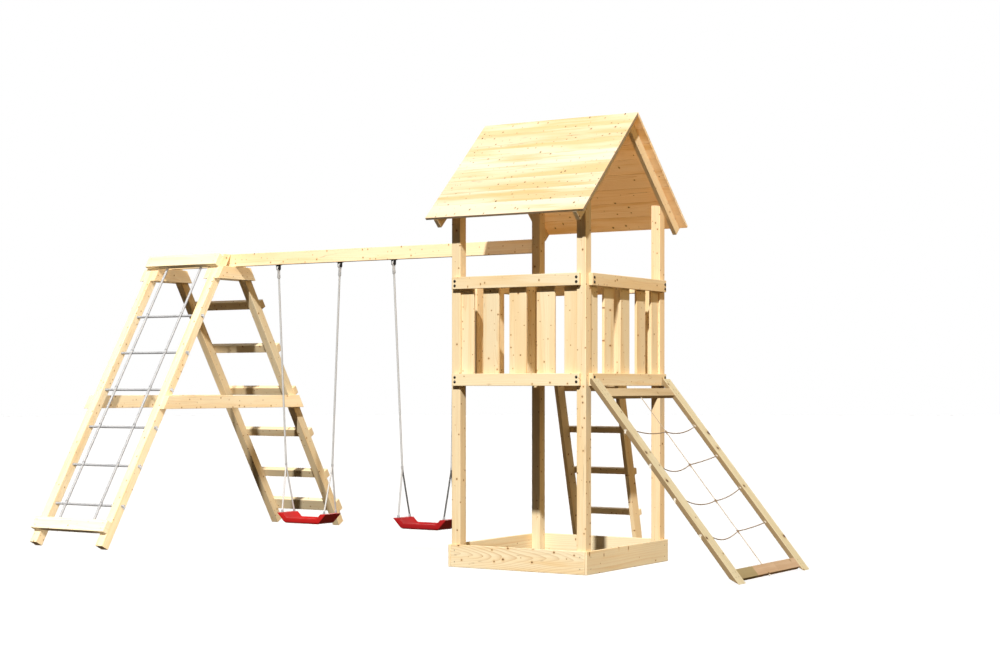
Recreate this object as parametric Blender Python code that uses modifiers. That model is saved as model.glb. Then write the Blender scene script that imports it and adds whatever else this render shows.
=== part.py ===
"""Garden play tower: a square timber tower with a gable roof, a sandbox, a rear
ladder and a rope ramp, and a beam with two swings that ends on a climbing frame.

Metres, +Z up.  X runs along the swing beam towards the ramp, Y from front to
back.  The origin is the middle of the object's box, on the ground.
"""
import bpy
import bmesh
from math import radians, sin, cos, tan, pi, sqrt
from mathutils import Vector, Matrix

# ---------------------------------------------------------------- dimensions
GAP = 0.0003                 # clearance between touching pieces
EDGE = 0.0015                # chamfer on sawn edges

W = 1.0357                   # tower, outer faces of the posts, both ways
POST = 0.068                 # square posts
POST_TOP = 2.420
RAIL_T = 0.028               # rails are bolted outside the posts
RAIL_H = 0.080
RAIL_FRONT = (0.022, 1.002)  # rail ends on the front and the rear
RAIL_SIDE = (0.036, 1.008)   # and on the left and the right
TOP_RAIL_Z = 1.830           # lower edge
LOW_RAIL_Z = 1.194
PLANK_T = 0.018
PLANK_INSET = 0.012          # plank face behind the posts' outer face
PLANK_Z0, PLANK_Z1 = 1.206, 1.898
REAR_PLANKS = ((0.640, 0.765), (0.868, 0.9662))  # beside the ladder's opening
FRONT_PLANKS = ((0.0695, 0.167), (0.243, 0.365), (0.448, 0.578),
                (0.659, 0.795), (0.868, 0.9662))
SIDE_PLANKS = ((0.0695, 0.168), (0.249, 0.371), (0.456, 0.577),
               (0.672, 0.790), (0.870, 0.9662))
BOX_T = 0.0172               # sandbox boards
BOX_H = 0.149
DECK_TOP = 1.250
DECK_T = 0.018
DECK_BOARDS = 9
DECK_GAP = 0.006
JOIST_H = 0.034

RIDGE_Y, RIDGE_Z = 0.518, 2.985
EAVE_RUN = 0.693             # horizontal run of each 45 degree slope
ROOF_X0, ROOF_X1 = -0.090, 1.122
ROOF_T = 0.018
RAFTER_T = 0.030
RAFTER_D = 0.068             # depth square to the slope

LAD_X = ((0.125, 0.155), (0.620, 0.650))
LAD_TAN = tan(radians(13.3))
LAD_D = 0.088                # stile width square to the lean
LAD_TOP = 1.270
LAD_RUNG_H, LAD_RUNG_T = 0.044, 0.033
LAD_RUNG_Z = (0.273, 0.566, 0.859, 1.155)

RAMP_TOP = Vector((1.066, 0, 1.255))
RAMP_CUT = 1.2407            # the stiles' top ends are cut level
RAMP_SLOPE = 1.2
RAMP_T = 0.030
RAMP_W = 0.095
RAMP_FOOT = radians(25)
RAMP_BOARD_TOP = (0.098, 0.163)      # along the slope
RAMP_BOARD_LOW = (1.526, 1.598)
ROPE_R = 0.0036              # ramp ropes
ROPE_Y = 0.490               # the middle rope
# each cross rope: front end, middle knot, back end along the slope, then the
# sag of its front and back halves
CROSS = ((0.430, 0.454, 0.418, 0.016, 0.026),
         (0.705, 0.725, 0.672, 0.043, 0.004),
         (0.975, 1.016, 0.942, 0.030, 0.015),
         (1.251, 1.260, 1.227, 0.042, 0.005))

YB = 1.0026                  # middle of the swing beam
BEAM_T, BEAM_H = 0.0450, 0.0976
BEAM_Z0 = 2.1367
BEAM_X0 = -3.643
LEG = 0.068                  # square legs
LEAN = radians(30)
LEG_TOP = 2.2343
LEG_HALF = 1.3129            # half spread of the legs' inner faces at the ground
NEAR_X = (-2.912, -2.844)
FAR_X = (-3.598, -3.530)
TIE_T = 0.045
TIE_Z0 = 2.036
BAR_Z = (1.020, 1.120)
BOARD_T = 0.045
BOARD_TOP_S = (2.420, 2.520)         # along the legs' outer faces, from the foot
BOARD_LOW_S = (0.095, 0.190)
RUNG_S = (0.470, 0.880, 1.285, 1.690, 2.090)
RUNG_W = 0.068
STEP_S = (0.100, 0.200)
NET_S = (0.339, 0.670, 0.998, 1.326, 1.657, 1.990)
NET_X = (-3.410, -3.050)
NET_R = 0.0100

HANGER_X = ((-2.372, -1.762), (-1.251, -0.691))
SPLIT_X = ((-2.296, -1.837), (-1.171, -0.722))
SPLIT_Z = 0.585
SEAT_X = (-2.0665, -0.9465)
SEAT_HOLE = (0.207, 0.070)
PIVOT_Z = BEAM_Z0 - 0.0305
SWING_R = 0.0080             # swing ropes
SEAT_Z0, SEAT_Z1 = 0.140, 0.218

# middle of the whole box, so the origin lies under it
CX = (BEAM_X0 + 2.112) / 2
CY = YB

# ---------------------------------------------------------------- scene
for o in list(bpy.data.objects):
    bpy.data.objects.remove(o, do_unlink=True)
parts = bpy.data.collections.new("play_tower")
cutters = bpy.data.collections.new("cutters")
bpy.context.scene.collection.children.link(parts)
bpy.context.scene.collection.children.link(cutters)


def P(x, y, z):
    return Vector((x - CX, y - CY, z))


def material(name, rgb, rough, metal=0.0):
    m = bpy.data.materials.new(name)
    m.use_nodes = True
    b = m.node_tree.nodes["Principled BSDF"]
    b.inputs["Base Color"].default_value = (rgb[0], rgb[1], rgb[2], 1)
    b.inputs["Roughness"].default_value = rough
    b.inputs["Metallic"].default_value = metal
    return m


SPRUCE = (0.80, 0.60, 0.34)
TREATED = (0.66, 0.52, 0.27)
HEMP = (0.52, 0.38, 0.24)
GREY = (0.48, 0.49, 0.51)
RED = (0.55, 0.01, 0.015)
BLACK = (0.03, 0.03, 0.03)


def finish(ob, name, rgb, rough=0.65, metal=0.0):
    ob.name = name
    ob.data.name = name
    ob.data.materials.clear()
    ob.data.materials.append(material(name + "_finish", rgb, rough, metal))
    for c in list(ob.users_collection):
        c.objects.unlink(ob)
    parts.objects.link(ob)
    return ob


def hide(ob):
    for c in list(ob.users_collection):
        c.objects.unlink(ob)
    cutters.objects.link(ob)
    ob.hide_render = True
    ob.display_type = 'WIRE'
    return ob


def mesh_object(name, bm, matrix=Matrix.Identity(4)):
    me = bpy.data.meshes.new(name)
    bm.to_mesh(me)
    bm.free()
    ob = bpy.data.objects.new(name, me)
    ob.matrix_world = matrix
    bpy.context.scene.collection.objects.link(ob)
    return ob


def frame(centre, ax, ay, az):
    m = Matrix.Identity(4)
    for i, a in enumerate((ax, ay, az)):
        m[0][i], m[1][i], m[2][i] = a
    m.translation = centre
    return m


XYZ = (Vector((1, 0, 0)), Vector((0, 1, 0)), Vector((0, 0, 1)))


def block(name, centre, dims, axes=XYZ):
    """Box of the given size on three axes, drawn in by half the clearance."""
    bm = bmesh.new()
    bmesh.ops.create_cube(bm, size=1.0)
    bmesh.ops.scale(bm, verts=bm.verts, vec=Vector([d - GAP for d in dims]))
    return mesh_object(name, bm, frame(centre, *axes))


def span(name, x, y, z):
    return block(name, P(sum(x) / 2, sum(y) / 2, sum(z) / 2),
                 (x[1] - x[0], y[1] - y[0], z[1] - z[0]))


def chamfer(ob, width=EDGE):
    m = ob.modifiers.new("edges", 'BEVEL')
    m.width = width
    m.segments = 1
    m.limit_method = 'ANGLE'
    m.angle_limit = radians(20)
    return ob


def board(name, x, y, z, rgb=SPRUCE):
    return chamfer(finish(span(name, x, y, z), name, rgb))


def to_mesh(ob, name):
    """A curve as a welded mesh object in the same place."""
    bpy.context.view_layer.update()
    dg = bpy.context.evaluated_depsgraph_get()
    me = bpy.data.meshes.new_from_object(ob.evaluated_get(dg))
    bm = bmesh.new()
    bm.from_mesh(me)
    bmesh.ops.remove_doubles(bm, verts=bm.verts, dist=0.00002)
    bmesh.ops.recalc_face_normals(bm, faces=bm.faces)
    bm.to_mesh(me)
    bm.free()
    out = bpy.data.objects.new(name, me)
    out.matrix_world = ob.matrix_world.copy()
    bpy.context.scene.collection.objects.link(out)
    bpy.data.objects.remove(ob, do_unlink=True)
    return out


def prism(name, pts, plane, lo, hi):
    """Flat outline in YZ (pushed along X) or XZ (pushed along Y)."""
    cu = bpy.data.curves.new(name, 'CURVE')
    cu.dimensions = '2D'
    cu.fill_mode = 'BOTH'
    cu.extrude = (hi - lo - GAP) / 2
    sp = cu.splines.new('POLY')
    sp.points.add(len(pts) - 1)
    a0 = sum(p[0] for p in pts) / len(pts)
    b0 = sum(p[1] for p in pts) / len(pts)
    for q, p in zip(sp.points, pts):
        q.co = (p[0] - a0, p[1] - b0, 0, 1)
    sp.use_cyclic_u = True
    ob = bpy.data.objects.new(name, cu)
    bpy.context.scene.collection.objects.link(ob)
    mid = (lo + hi) / 2
    if plane == 'YZ':
        ob.matrix_world = frame(P(mid, a0, b0), XYZ[1], XYZ[2], XYZ[0])
    else:
        ob.matrix_world = frame(P(a0, mid, b0), XYZ[0], XYZ[2], -XYZ[1])
    return to_mesh(ob, name)


def tube(name, pts, r, res=2):
    """Round rope through the points, with closed ends."""
    cu = bpy.data.curves.new(name, 'CURVE')
    cu.dimensions = '3D'
    cu.bevel_depth = r
    cu.bevel_resolution = res
    cu.use_fill_caps = True
    sp = cu.splines.new('POLY')
    sp.points.add(len(pts) - 1)
    for q, p in zip(sp.points, pts):
        q.co = (p[0], p[1], p[2], 1)
    ob = bpy.data.objects.new(name, cu)
    bpy.context.scene.collection.objects.link(ob)
    return to_mesh(ob, name)


def rods(name, ends, r, seg=12):
    """Straight round bars, one for each pair of ends, in one mesh."""
    bm = bmesh.new()
    for a, b in ends:
        d = b - a
        m = Matrix.Translation((a + b) / 2) @ d.to_track_quat('Z', 'Y').to_matrix().to_4x4()
        bmesh.ops.create_cone(bm, cap_ends=True, segments=seg, radius1=r,
                              radius2=r, depth=d.length, matrix=m)
    return mesh_object(name, bm)


# a slight turn, so that a knot's facets never lie along its rope's
TURN = Matrix.Rotation(radians(17), 4, 'X') @ Matrix.Rotation(radians(11), 4, 'Y')


def balls(name, spots, r, u=8, v=5):
    bm = bmesh.new()
    for c in spots:
        bmesh.ops.create_uvsphere(bm, u_segments=u, v_segments=v, radius=r,
                                  matrix=Matrix.Translation(c) @ TURN)
    return mesh_object(name, bm)


def boolean(ob, other, op):
    m = ob.modifiers.new(op.lower(), 'BOOLEAN')
    m.operation = op
    m.solver = 'EXACT'
    m.object = hide(other)
    return ob


def smooth(ob, angle=40):
    ob.data.shade_smooth()
    ob.data.set_sharp_from_angle(angle=radians(angle))
    return ob


# ---------------------------------------------------------------- tower posts
for name, x, y in (("post_front_left", 0, 0), ("post_front_right", W - POST, 0),
                   ("post_rear_right", W - POST, W - POST), ("post_rear_left", 0, W - POST)):
    board(name, (x, x + POST), (y, y + POST), (0, POST_TOP))


# ---------------------------------------------------------------- fences
def side_span(side, a, b, d0, d1, z0, z1, name):
    """Box on one side of the tower: a..b along it, d0..d1 inwards from the
    posts' outer face."""
    if side == 'front':
        return span(name, (a, b), (d0, d1), (z0, z1))
    if side == 'rear':
        return span(name, (a, b), (W - d1, W - d0), (z0, z1))
    if side == 'left':
        return span(name, (d0, d1), (a, b), (z0, z1))
    return span(name, (W - d1, W - d0), (a, b), (z0, z1))




def fence(side, planks):
    name = side + "_fence"
    a, b = RAIL_FRONT if side == 'front' else RAIL_SIDE
    top = side_span(side, a, b, -RAIL_T, 0, TOP_RAIL_Z, TOP_RAIL_Z + RAIL_H, name)
    finish(top, name, SPRUCE)
    chamfer(top)
    low = side_span(side, a, b, -RAIL_T, 0, LOW_RAIL_Z, LOW_RAIL_Z + RAIL_H, name + "_low")
    chamfer(low)
    boolean(top, low, 'UNION')
    # packing strips between the posts carry the planks behind the rails
    for i, z in enumerate((TOP_RAIL_Z + 0.004, LOW_RAIL_Z + 0.014)):
        s = side_span(side, POST + 0.002, W - POST - 0.002, -0.004, PLANK_INSET + 0.004,
                      z, z + 0.060, name + "_strip%d" % i)
        boolean(top, s, 'UNION')
    for i, (a, b) in enumerate(planks):
        p = side_span(side, a, b, PLANK_INSET, PLANK_INSET + PLANK_T, PLANK_Z0, PLANK_Z1,
                      name + "_plank%d" % i)
        boolean(top, p, 'UNION')
    return top


fence('front', FRONT_PLANKS)
fence('right', SIDE_PLANKS)
fence('left', SIDE_PLANKS)
for name, z in (("rear_top_rail", TOP_RAIL_Z), ("rear_low_rail", LOW_RAIL_Z)):
    chamfer(finish(side_span('rear', *RAIL_FRONT, -RAIL_T, 0, z, z + RAIL_H, name), name, SPRUCE))
# at the rear only two planks close the side, to the right of the ladder's opening
rear = side_span('rear', REAR_PLANKS[0][0], W - POST - 0.002, GAP, PLANK_INSET + 0.004,
                 TOP_RAIL_Z + 0.004, TOP_RAIL_Z + 0.064, "rear_planks")
finish(rear, "rear_planks", SPRUCE)
boolean(rear, side_span('rear', REAR_PLANKS[0][0], W - POST - 0.002, GAP, PLANK_INSET + 0.004,
                        LOW_RAIL_Z + 0.014, LOW_RAIL_Z + 0.074, "rear_strip"), 'UNION')
for i, (a, b) in enumerate(REAR_PLANKS):
    boolean(rear, side_span('rear', a, b, PLANK_INSET, PLANK_INSET + PLANK_T, PLANK_Z0, PLANK_Z1,
                            "rear_plank%d" % i), 'UNION')

# ---------------------------------------------------------------- sandbox
board("sandbox_front", (0, W), (-BOX_T, 0), (0, BOX_H))
board("sandbox_rear", (0, W), (W, W + BOX_T), (0, BOX_H))
board("sandbox_left", (-BOX_T, 0), (-BOX_T, W + BOX_T), (0, BOX_H))
board("sandbox_right", (W, W + BOX_T), (-BOX_T, W + BOX_T), (0, BOX_H))

# ---------------------------------------------------------------- deck
inner0, inner1 = PLANK_INSET + PLANK_T + 0.001, W - PLANK_INSET - PLANK_T - 0.001
deck = span("deck", (0.098, 0.128), (inner0, inner1), (DECK_TOP - DECK_T - JOIST_H, DECK_TOP - DECK_T + 0.001))
finish(deck, "deck", SPRUCE)
for i, x in enumerate((0.503, 0.908)):
    boolean(deck, span("deck_joist%d" % i, (x, x + 0.030), (inner0, inner1),
                       (DECK_TOP - DECK_T - JOIST_H, DECK_TOP - DECK_T + 0.001)), 'UNION')
pitch = (inner1 - inner0 + DECK_GAP) / DECK_BOARDS
for i in range(DECK_BOARDS):
    y0 = inner0 + i * pitch
    y1 = y0 + pitch - DECK_GAP
    notch = y0 < POST + 0.002 or y1 > W - POST - 0.002
    x0, x1 = (POST + 0.002, W - POST - 0.002) if notch else (inner0, inner1)
    boolean(deck, span("deck_board%d" % i, (x0, x1), (y0, y1), (DECK_TOP - DECK_T, DECK_TOP)), 'UNION')

# ---------------------------------------------------------------- roof
EAVE_Z = RIDGE_Z - EAVE_RUN
EAVE_Y = RIDGE_Y - EAVE_RUN
t = ROOF_T / sqrt(2)                 # the eaves are cut square to the slope
slope = ((EAVE_Y, EAVE_Z), (RIDGE_Y - GAP / 2, RIDGE_Z), (RIDGE_Y - GAP / 2, RIDGE_Z - 2 * t),
         (EAVE_Y + t, EAVE_Z - t))
for name, k in (("roof_front", 1), ("roof_rear", -1)):
    pts = [(RIDGE_Y + k * (y - RIDGE_Y), z) for y, z in slope]
    chamfer(finish(prism(name, pts, 'YZ', ROOF_X0, ROOF_X1), name, SPRUCE))
g = GAP * sqrt(2)
d = RAFTER_D / sqrt(2)
half = ((EAVE_Y + t, EAVE_Z - t - g), (EAVE_Y + t + d, EAVE_Z - t - d - g))
apex_hi, apex_lo = RIDGE_Z - 2 * t - g, RIDGE_Z - 2 * t - 2 * d - g
chevron = [half[0], (RIDGE_Y, apex_hi), (2 * RIDGE_Y - half[0][0], half[0][1]),
           (2 * RIDGE_Y - half[1][0], half[1][1]), (RIDGE_Y, apex_lo), half[1]]
for name, x0, x1 in (("rafters_left", -RAFTER_T, 0), ("rafters_right", W, W + RAFTER_T)):
    chamfer(finish(prism(name, chevron, 'YZ', x0, x1), name, SPRUCE))

# ---------------------------------------------------------------- ladder
lad_y = W + RAIL_T + GAP             # stiles lean on the rear rail's outer face


def lad_in(z):
    return lad_y + (LOW_RAIL_Z - z) * LAD_TAN


lad_w = LAD_D / cos(radians(13.3))
stile = [(lad_in(0), 0.0001), (lad_in(0) + lad_w, 0.0001), (lad_in(LAD_TOP) + lad_w, LAD_TOP),
         (lad_y, LAD_TOP), (lad_y, LOW_RAIL_Z)]
for name, (x0, x1) in zip(("ladder_stile_left", "ladder_stile_right"), LAD_X):
    chamfer(finish(prism(name, stile, 'YZ', x0, x1), name, SPRUCE))
ln = Vector((0, cos(radians(13.3)), sin(radians(13.3))))     # out of the ladder's back
la = Vector((0, -sin(radians(13.3)), cos(radians(13.3))))    # up the ladder
for i, z in enumerate(LAD_RUNG_Z):
    zc = z + LAD_RUNG_H / 2
    face = P((LAD_X[0][0] + LAD_X[1][1]) / 2, lad_in(zc) + lad_w, zc)
    name = "ladder_rung_%d" % (i + 1)
    chamfer(finish(block(name, face + ln * (LAD_RUNG_T / 2 + GAP / 2),
                         (LAD_X[1][1] - LAD_X[0][0], LAD_RUNG_T, LAD_RUNG_H), (XYZ[0], ln, la)),
                   name, SPRUCE))

# ---------------------------------------------------------------- rope ramp
ra = Vector((1, 0, -RAMP_SLOPE)).normalized()        # down the ramp
rn = Vector((RAMP_SLOPE, 0, 1)).normalized()         # out of its upper face
drop = RAMP_T / rn.z                                 # thickness measured plumb
x_tip = RAMP_TOP.x + (RAMP_TOP.z - 0.0002) / RAMP_SLOPE
x_heel = (RAMP_TOP.z - drop + RAMP_SLOPE * RAMP_TOP.x - x_tip * tan(RAMP_FOOT)) / (RAMP_SLOPE - tan(RAMP_FOOT))
outline = [(RAMP_TOP.x, RAMP_CUT), (RAMP_TOP.x + (RAMP_TOP.z - RAMP_CUT) / RAMP_SLOPE, RAMP_CUT),
           (x_tip, 0.0002), (x_heel, (x_tip - x_heel) * tan(RAMP_FOOT)), (RAMP_TOP.x, RAMP_TOP.z - drop)]


def on_ramp(s, y, off=-RAMP_T / 2):
    q = RAMP_TOP + ra * s + rn * off
    return P(q.x, y, q.z)


for name, y0, y1 in (("ramp_stile_front", 0, RAMP_W), ("ramp_stile_rear", W - RAMP_W, W)):
    ob = chamfer(finish(prism(name, outline, 'XZ', y0, y1), name, TREATED))
    k = 0 if y0 == 0 else 2
    boolean(ob, rods(name + "_holes", [(on_ramp(c[k], y0 - 0.01), on_ramp(c[k], y1 + 0.01)) for c in CROSS],
                     ROPE_R + 0.0012), 'DIFFERENCE')
for name, (s0, s1) in (("ramp_board_top", RAMP_BOARD_TOP), ("ramp_board_bottom", RAMP_BOARD_LOW)):
    ob = block(name, on_ramp((s0 + s1) / 2, W / 2), (s1 - s0, W - 2 * RAMP_W, RAMP_T),
               (ra, XYZ[1], rn))
    chamfer(finish(ob, name, TREATED))
    boolean(ob, rods(name + "_hole", [(on_ramp(s0 - 0.01, ROPE_Y), on_ramp(s1 + 0.01, ROPE_Y))],
                     ROPE_R + 0.0012), 'DIFFERENCE')


def sagging(a, b, sag, n=8):
    """Points from a to b on a hanging curve; the sag is straight down."""
    return [a.lerp(b, i / n) - Vector((0, 0, 4 * sag * (i / n) * (1 - i / n))) for i in range(n + 1)]


KNOT = 0.0095
net = tube("ramp_net", [on_ramp(RAMP_BOARD_TOP[0] - 0.004, ROPE_Y)] +
           [on_ramp(c[1], ROPE_Y) for c in CROSS] + [on_ramp(RAMP_BOARD_LOW[1] + 0.004, ROPE_Y)], ROPE_R)
finish(net, "ramp_net", HEMP, 0.9)
for i, (sa, sm, sb, d1, d2) in enumerate(CROSS):
    run = [on_ramp(sa, -0.004)] + sagging(on_ramp(sa, RAMP_W), on_ramp(sm, ROPE_Y), d1)
    run += sagging(on_ramp(sm, ROPE_Y), on_ramp(sb, W - RAMP_W), d2)[1:] + [on_ramp(sb, W + 0.004)]
    boolean(net, tube("ramp_net_cross%d" % i, run, ROPE_R), 'UNION')
knots = [on_ramp(c[1], ROPE_Y) for c in CROSS]
knots += [on_ramp(c[0], -KNOT - 0.001) for c in CROSS] + [on_ramp(c[2], W + KNOT + 0.001) for c in CROSS]
knots += [on_ramp(RAMP_BOARD_TOP[0] - KNOT - 0.001, ROPE_Y)]
boolean(net, balls("ramp_net_knots", knots, KNOT), 'UNION')
# the lowest knot is pulled up tight under the bottom board, clear of the ground
boolean(net, balls("ramp_net_foot", [on_ramp(RAMP_BOARD_LOW[1] + 0.0085, ROPE_Y)], 0.0080), 'UNION')
smooth(net)

# ---------------------------------------------------------------- swing beam
beam = board("swing_beam", (BEAM_X0, 0), (YB - BEAM_T / 2, YB + BEAM_T / 2), (BEAM_Z0, BEAM_Z0 + BEAM_H))

# ---------------------------------------------------------------- climbing frame
leg_w = LEG / cos(LEAN)


def leg_in(z):
    return LEG_HALF - z * tan(LEAN)


# inner foot corner on the ground, foot and sides square, top level
leg_outline = ((leg_in(0), 0), (leg_in(0) + LEG * cos(LEAN), LEG * sin(LEAN)),
               (leg_in(LEG_TOP) + leg_w, LEG_TOP), (leg_in(LEG_TOP), LEG_TOP))
fn = Vector((0, -cos(LEAN), sin(LEAN)))              # out of the front legs
fa = Vector((0, sin(LEAN), cos(LEAN)))               # up the front legs
bn = Vector((0, cos(LEAN), sin(LEAN)))
ba = Vector((0, -sin(LEAN), cos(LEAN)))
foot = (leg_in(0) + LEG * cos(LEAN), LEG * sin(LEAN))


def on_front(x, s, off=0.0):
    return P(x, YB - foot[0], foot[1]) + fa * s + fn * off


def on_back(x, s, off=0.0):
    return P(x, YB + foot[0], foot[1]) + ba * s + bn * off


DEPTH = -LEG / 2
for row, k in (("front", -1), ("rear", 1)):
    for side, (x0, x1) in (("near", NEAR_X), ("far", FAR_X)):
        name = "leg_%s_%s" % (row, side)
        ob = prism(name, [(YB + k * y, z) for y, z in leg_outline], 'YZ', x0, x1)
        chamfer(finish(ob, name, SPRUCE))
        if row == "front":
            boolean(ob, rods(name + "_holes", [(on_front(x0 - 0.01, s, DEPTH), on_front(x1 + 0.01, s, DEPTH))
                                               for s in NET_S], NET_R + 0.0012), 'DIFFERENCE')


def crosspiece(name, x, z0, z1):
    """Board along Y on the legs' side faces, its ends flush with the legs."""
    a, b = leg_in(z0) + leg_w, leg_in(z1) + leg_w
    pts = ((YB - a, z0), (YB + a, z0), (YB + b, z1), (YB - b, z1))
    return chamfer(finish(prism(name, pts, 'YZ', *x), name, SPRUCE))


for i, x in enumerate(((NEAR_X[1], NEAR_X[1] + TIE_T), (NEAR_X[0] - TIE_T, NEAR_X[0]),
                       (FAR_X[1], FAR_X[1] + TIE_T), (FAR_X[0] - TIE_T, FAR_X[0]))):
    crosspiece("frame_tie_%d" % (i + 1), x, TIE_Z0, BEAM_Z0 - GAP)
crosspiece("crossbar_near", (NEAR_X[1], NEAR_X[1] + TIE_T), *BAR_Z)
crosspiece("crossbar_far", (FAR_X[0] - TIE_T, FAR_X[0]), *BAR_Z)

MID_X = (FAR_X[0] + NEAR_X[1]) / 2
LEN_X = NEAR_X[1] - FAR_X[0]
BLIND = 0.030                        # the net's upright ropes end in holes in the boards' backs
for name, (s0, s1) in (("frame_board_top", BOARD_TOP_S), ("frame_board_bottom", BOARD_LOW_S)):
    ob = block(name, on_front(MID_X, (s0 + s1) / 2, BOARD_T / 2 + GAP / 2), (LEN_X, BOARD_T, s1 - s0),
               (XYZ[0], -fn, fa))
    chamfer(finish(ob, name, SPRUCE))
    s = (s0 + s1) / 2
    boolean(ob, rods(name + "_holes", [(on_front(x, s, -0.01), on_front(x, s, BLIND)) for x in NET_X],
                     NET_R + 0.0012), 'DIFFERENCE')
for i, s in enumerate(RUNG_S):
    name = "frame_rung_%d" % (i + 1)
    ob = block(name, on_back(MID_X, s, BOARD_T / 2 + GAP / 2), (LEN_X, BOARD_T, RUNG_W), (XYZ[0], bn, ba))
    chamfer(finish(ob, name, SPRUCE))
ob = block("frame_step", on_back(MID_X, sum(STEP_S) / 2, BOARD_T / 2 + GAP / 2),
           (LEN_X, BOARD_T, STEP_S[1] - STEP_S[0]), (XYZ[0], bn, ba))
chamfer(finish(ob, "frame_step", SPRUCE))

# ---------------------------------------------------------------- climbing net
K2 = 0.0145
runs = []
for s in NET_S:
    runs.append((on_front(FAR_X[0] - 0.004, s, DEPTH), on_front(NEAR_X[1] + 0.004, s, DEPTH)))
cnet = tube("climbing_net", runs[0], NET_R)
finish(cnet, "climbing_net", GREY, 0.8)
for i, (a, b) in enumerate(runs[1:]):
    boolean(cnet, tube("climbing_net_row%d" % i, (a, b), NET_R), 'UNION')
front_of = DEPTH + 2 * NET_R - 0.0025
low, high = sum(BOARD_LOW_S) / 2, sum(BOARD_TOP_S) / 2
for i, x in enumerate(NET_X):
    pts = [on_front(x, low, BLIND - 0.002), on_front(x, low, front_of + 0.010), on_front(x, low + 0.010, front_of),
           on_front(x, high - 0.010, front_of), on_front(x, high, front_of + 0.010), on_front(x, high, BLIND - 0.002)]
    boolean(cnet, tube("climbing_net_upright%d" % i, pts, NET_R), 'UNION')
spots = [on_front(x, s, DEPTH) for s in NET_S for x in (FAR_X[0] - K2 - 0.001, NEAR_X[1] + K2 + 0.001)]
boolean(cnet, balls("climbing_net_knots", spots, K2), 'UNION')
smooth(cnet)

# ---------------------------------------------------------------- hangers
PIN_R = 0.0065


def hanger(name, x):
    plate = span(name, (x - 0.022, x + 0.022), (YB - 0.0175, YB + 0.0175), (BEAM_Z0 - 0.0042, BEAM_Z0 - GAP / 2))
    finish(plate, name, BLACK, 0.4, 0.6)
    for i, (a, b) in enumerate(((-0.0145, -0.0100), (0.0100, 0.0145))):
        boolean(plate, span(name + "_ear%d" % i, (x + a, x + b), (YB - 0.011, YB + 0.011),
                            (PIVOT_Z - 0.0115, BEAM_Z0 - 0.003)), 'UNION')
    boolean(plate, rods(name + "_pin", [(P(x - 0.0175, YB, PIVOT_Z), P(x + 0.0175, YB, PIVOT_Z))], PIN_R, 16),
            'UNION')
    return plate


# ---------------------------------------------------------------- swings
def outline_y(name, pts, half_y):
    return prism(name, pts, 'XZ', YB - half_y, YB + half_y)


def seat(name, xc):
    """Moulded scoop seat: raised ends, a dished top, open underneath."""
    bm = bmesh.new()
    bmesh.ops.create_cube(bm, size=1.0)
    zm = (SEAT_Z0 + SEAT_Z1) / 2
    for v in bm.verts:
        low = v.co.z < 0
        v.co.x *= 0.330 if low else 0.480
        v.co.y *= 0.176 if low else 0.184
        v.co.z *= SEAT_Z1 - SEAT_Z0
    ob = finish(mesh_object(name, bm, Matrix.Translation(P(xc, YB, zm))), name, RED, 0.3)
    rim = [(-0.150, 0.181), (0.150, 0.181), (0.190, 0.2195), (-0.190, 0.2195)]
    dish = [(-0.132, 0.162), (0.132, 0.162), (0.1935, 0.2195), (-0.1935, 0.2195)]
    hollow = [(-0.1603, 0.1385), (0.1603, 0.1385), (0.2300, 0.2125), (0.1915, 0.2125),
              (0.1342, 0.1578), (-0.1342, 0.1578), (-0.1915, 0.2125), (-0.2300, 0.2125)]
    boolean(ob, outline_y(name + "_rim", [(xc + a, b) for a, b in rim], 0.2), 'DIFFERENCE')
    boolean(ob, outline_y(name + "_dish", [(xc + a, b) for a, b in dish], 0.084), 'DIFFERENCE')
    boolean(ob, outline_y(name + "_hollow", [(xc + a, b) for a, b in hollow], 0.083), 'DIFFERENCE')
    hx, hy = SEAT_HOLE
    boolean(ob, rods(name + "_holes", [(P(xc + i * hx, YB + j * hy, 0.205), P(xc + i * hx, YB + j * hy, 0.225))
                                       for i in (-1, 1) for j in (-1, 1)], 0.0090), 'DIFFERENCE')
    return ob


def swing_rope(name, xh, xs, xc, side):
    """Rope from the pin to the fork, and its two legs to the seat's corners."""
    pivot = P(xh, YB, PIVOT_Z)
    ring_r = PIN_R + 0.0010 + SWING_R
    fork = P(xs, YB, SPLIT_Z)
    start = pivot + (fork - pivot).normalized() * ring_r
    rope = finish(tube(name, (start, fork), SWING_R), name, GREY, 0.8)
    bpy.ops.mesh.primitive_torus_add(major_radius=ring_r, minor_radius=SWING_R * 0.94, major_segments=16,
                                     minor_segments=7, location=pivot, rotation=(0, pi / 2, 0))
    eye = bpy.context.active_object
    eye.name = name + "_eye"
    boolean(rope, eye, 'UNION')
    boolean(rope, balls(name + "_splice", [fork], 0.0125), 'UNION')
    hx, hy = SEAT_HOLE
    for i, j in enumerate((-1, 1)):
        hole = P(xc + side * hx, YB + j * hy, 0.2152)
        end = P(xc + side * hx, YB + j * hy, 0.2030)
        boolean(rope, tube(name + "_leg%d" % i,
                           (fork + (hole - fork).normalized() * (0.0011 + 0.0007 * i), hole + Vector((0, 0, 0.004)), end),
                           SWING_R * (0.965 - 0.02 * i)), 'UNION')
        boolean(rope, balls(name + "_knot%d" % i, [end], 0.0094), 'UNION')
    return smooth(rope)


for n in (0, 1):
    seat("seat_%d" % (n + 1), SEAT_X[n])
    for k, side in enumerate(("left", "right")):
        hanger("hanger_%d_%s" % (n + 1, side), HANGER_X[n][k])
        swing_rope("rope_%d_%s" % (n + 1, side), HANGER_X[n][k], SPLIT_X[n][k], SEAT_X[n], (-1, 1)[k])

bpy.context.view_layer.update()
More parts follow.
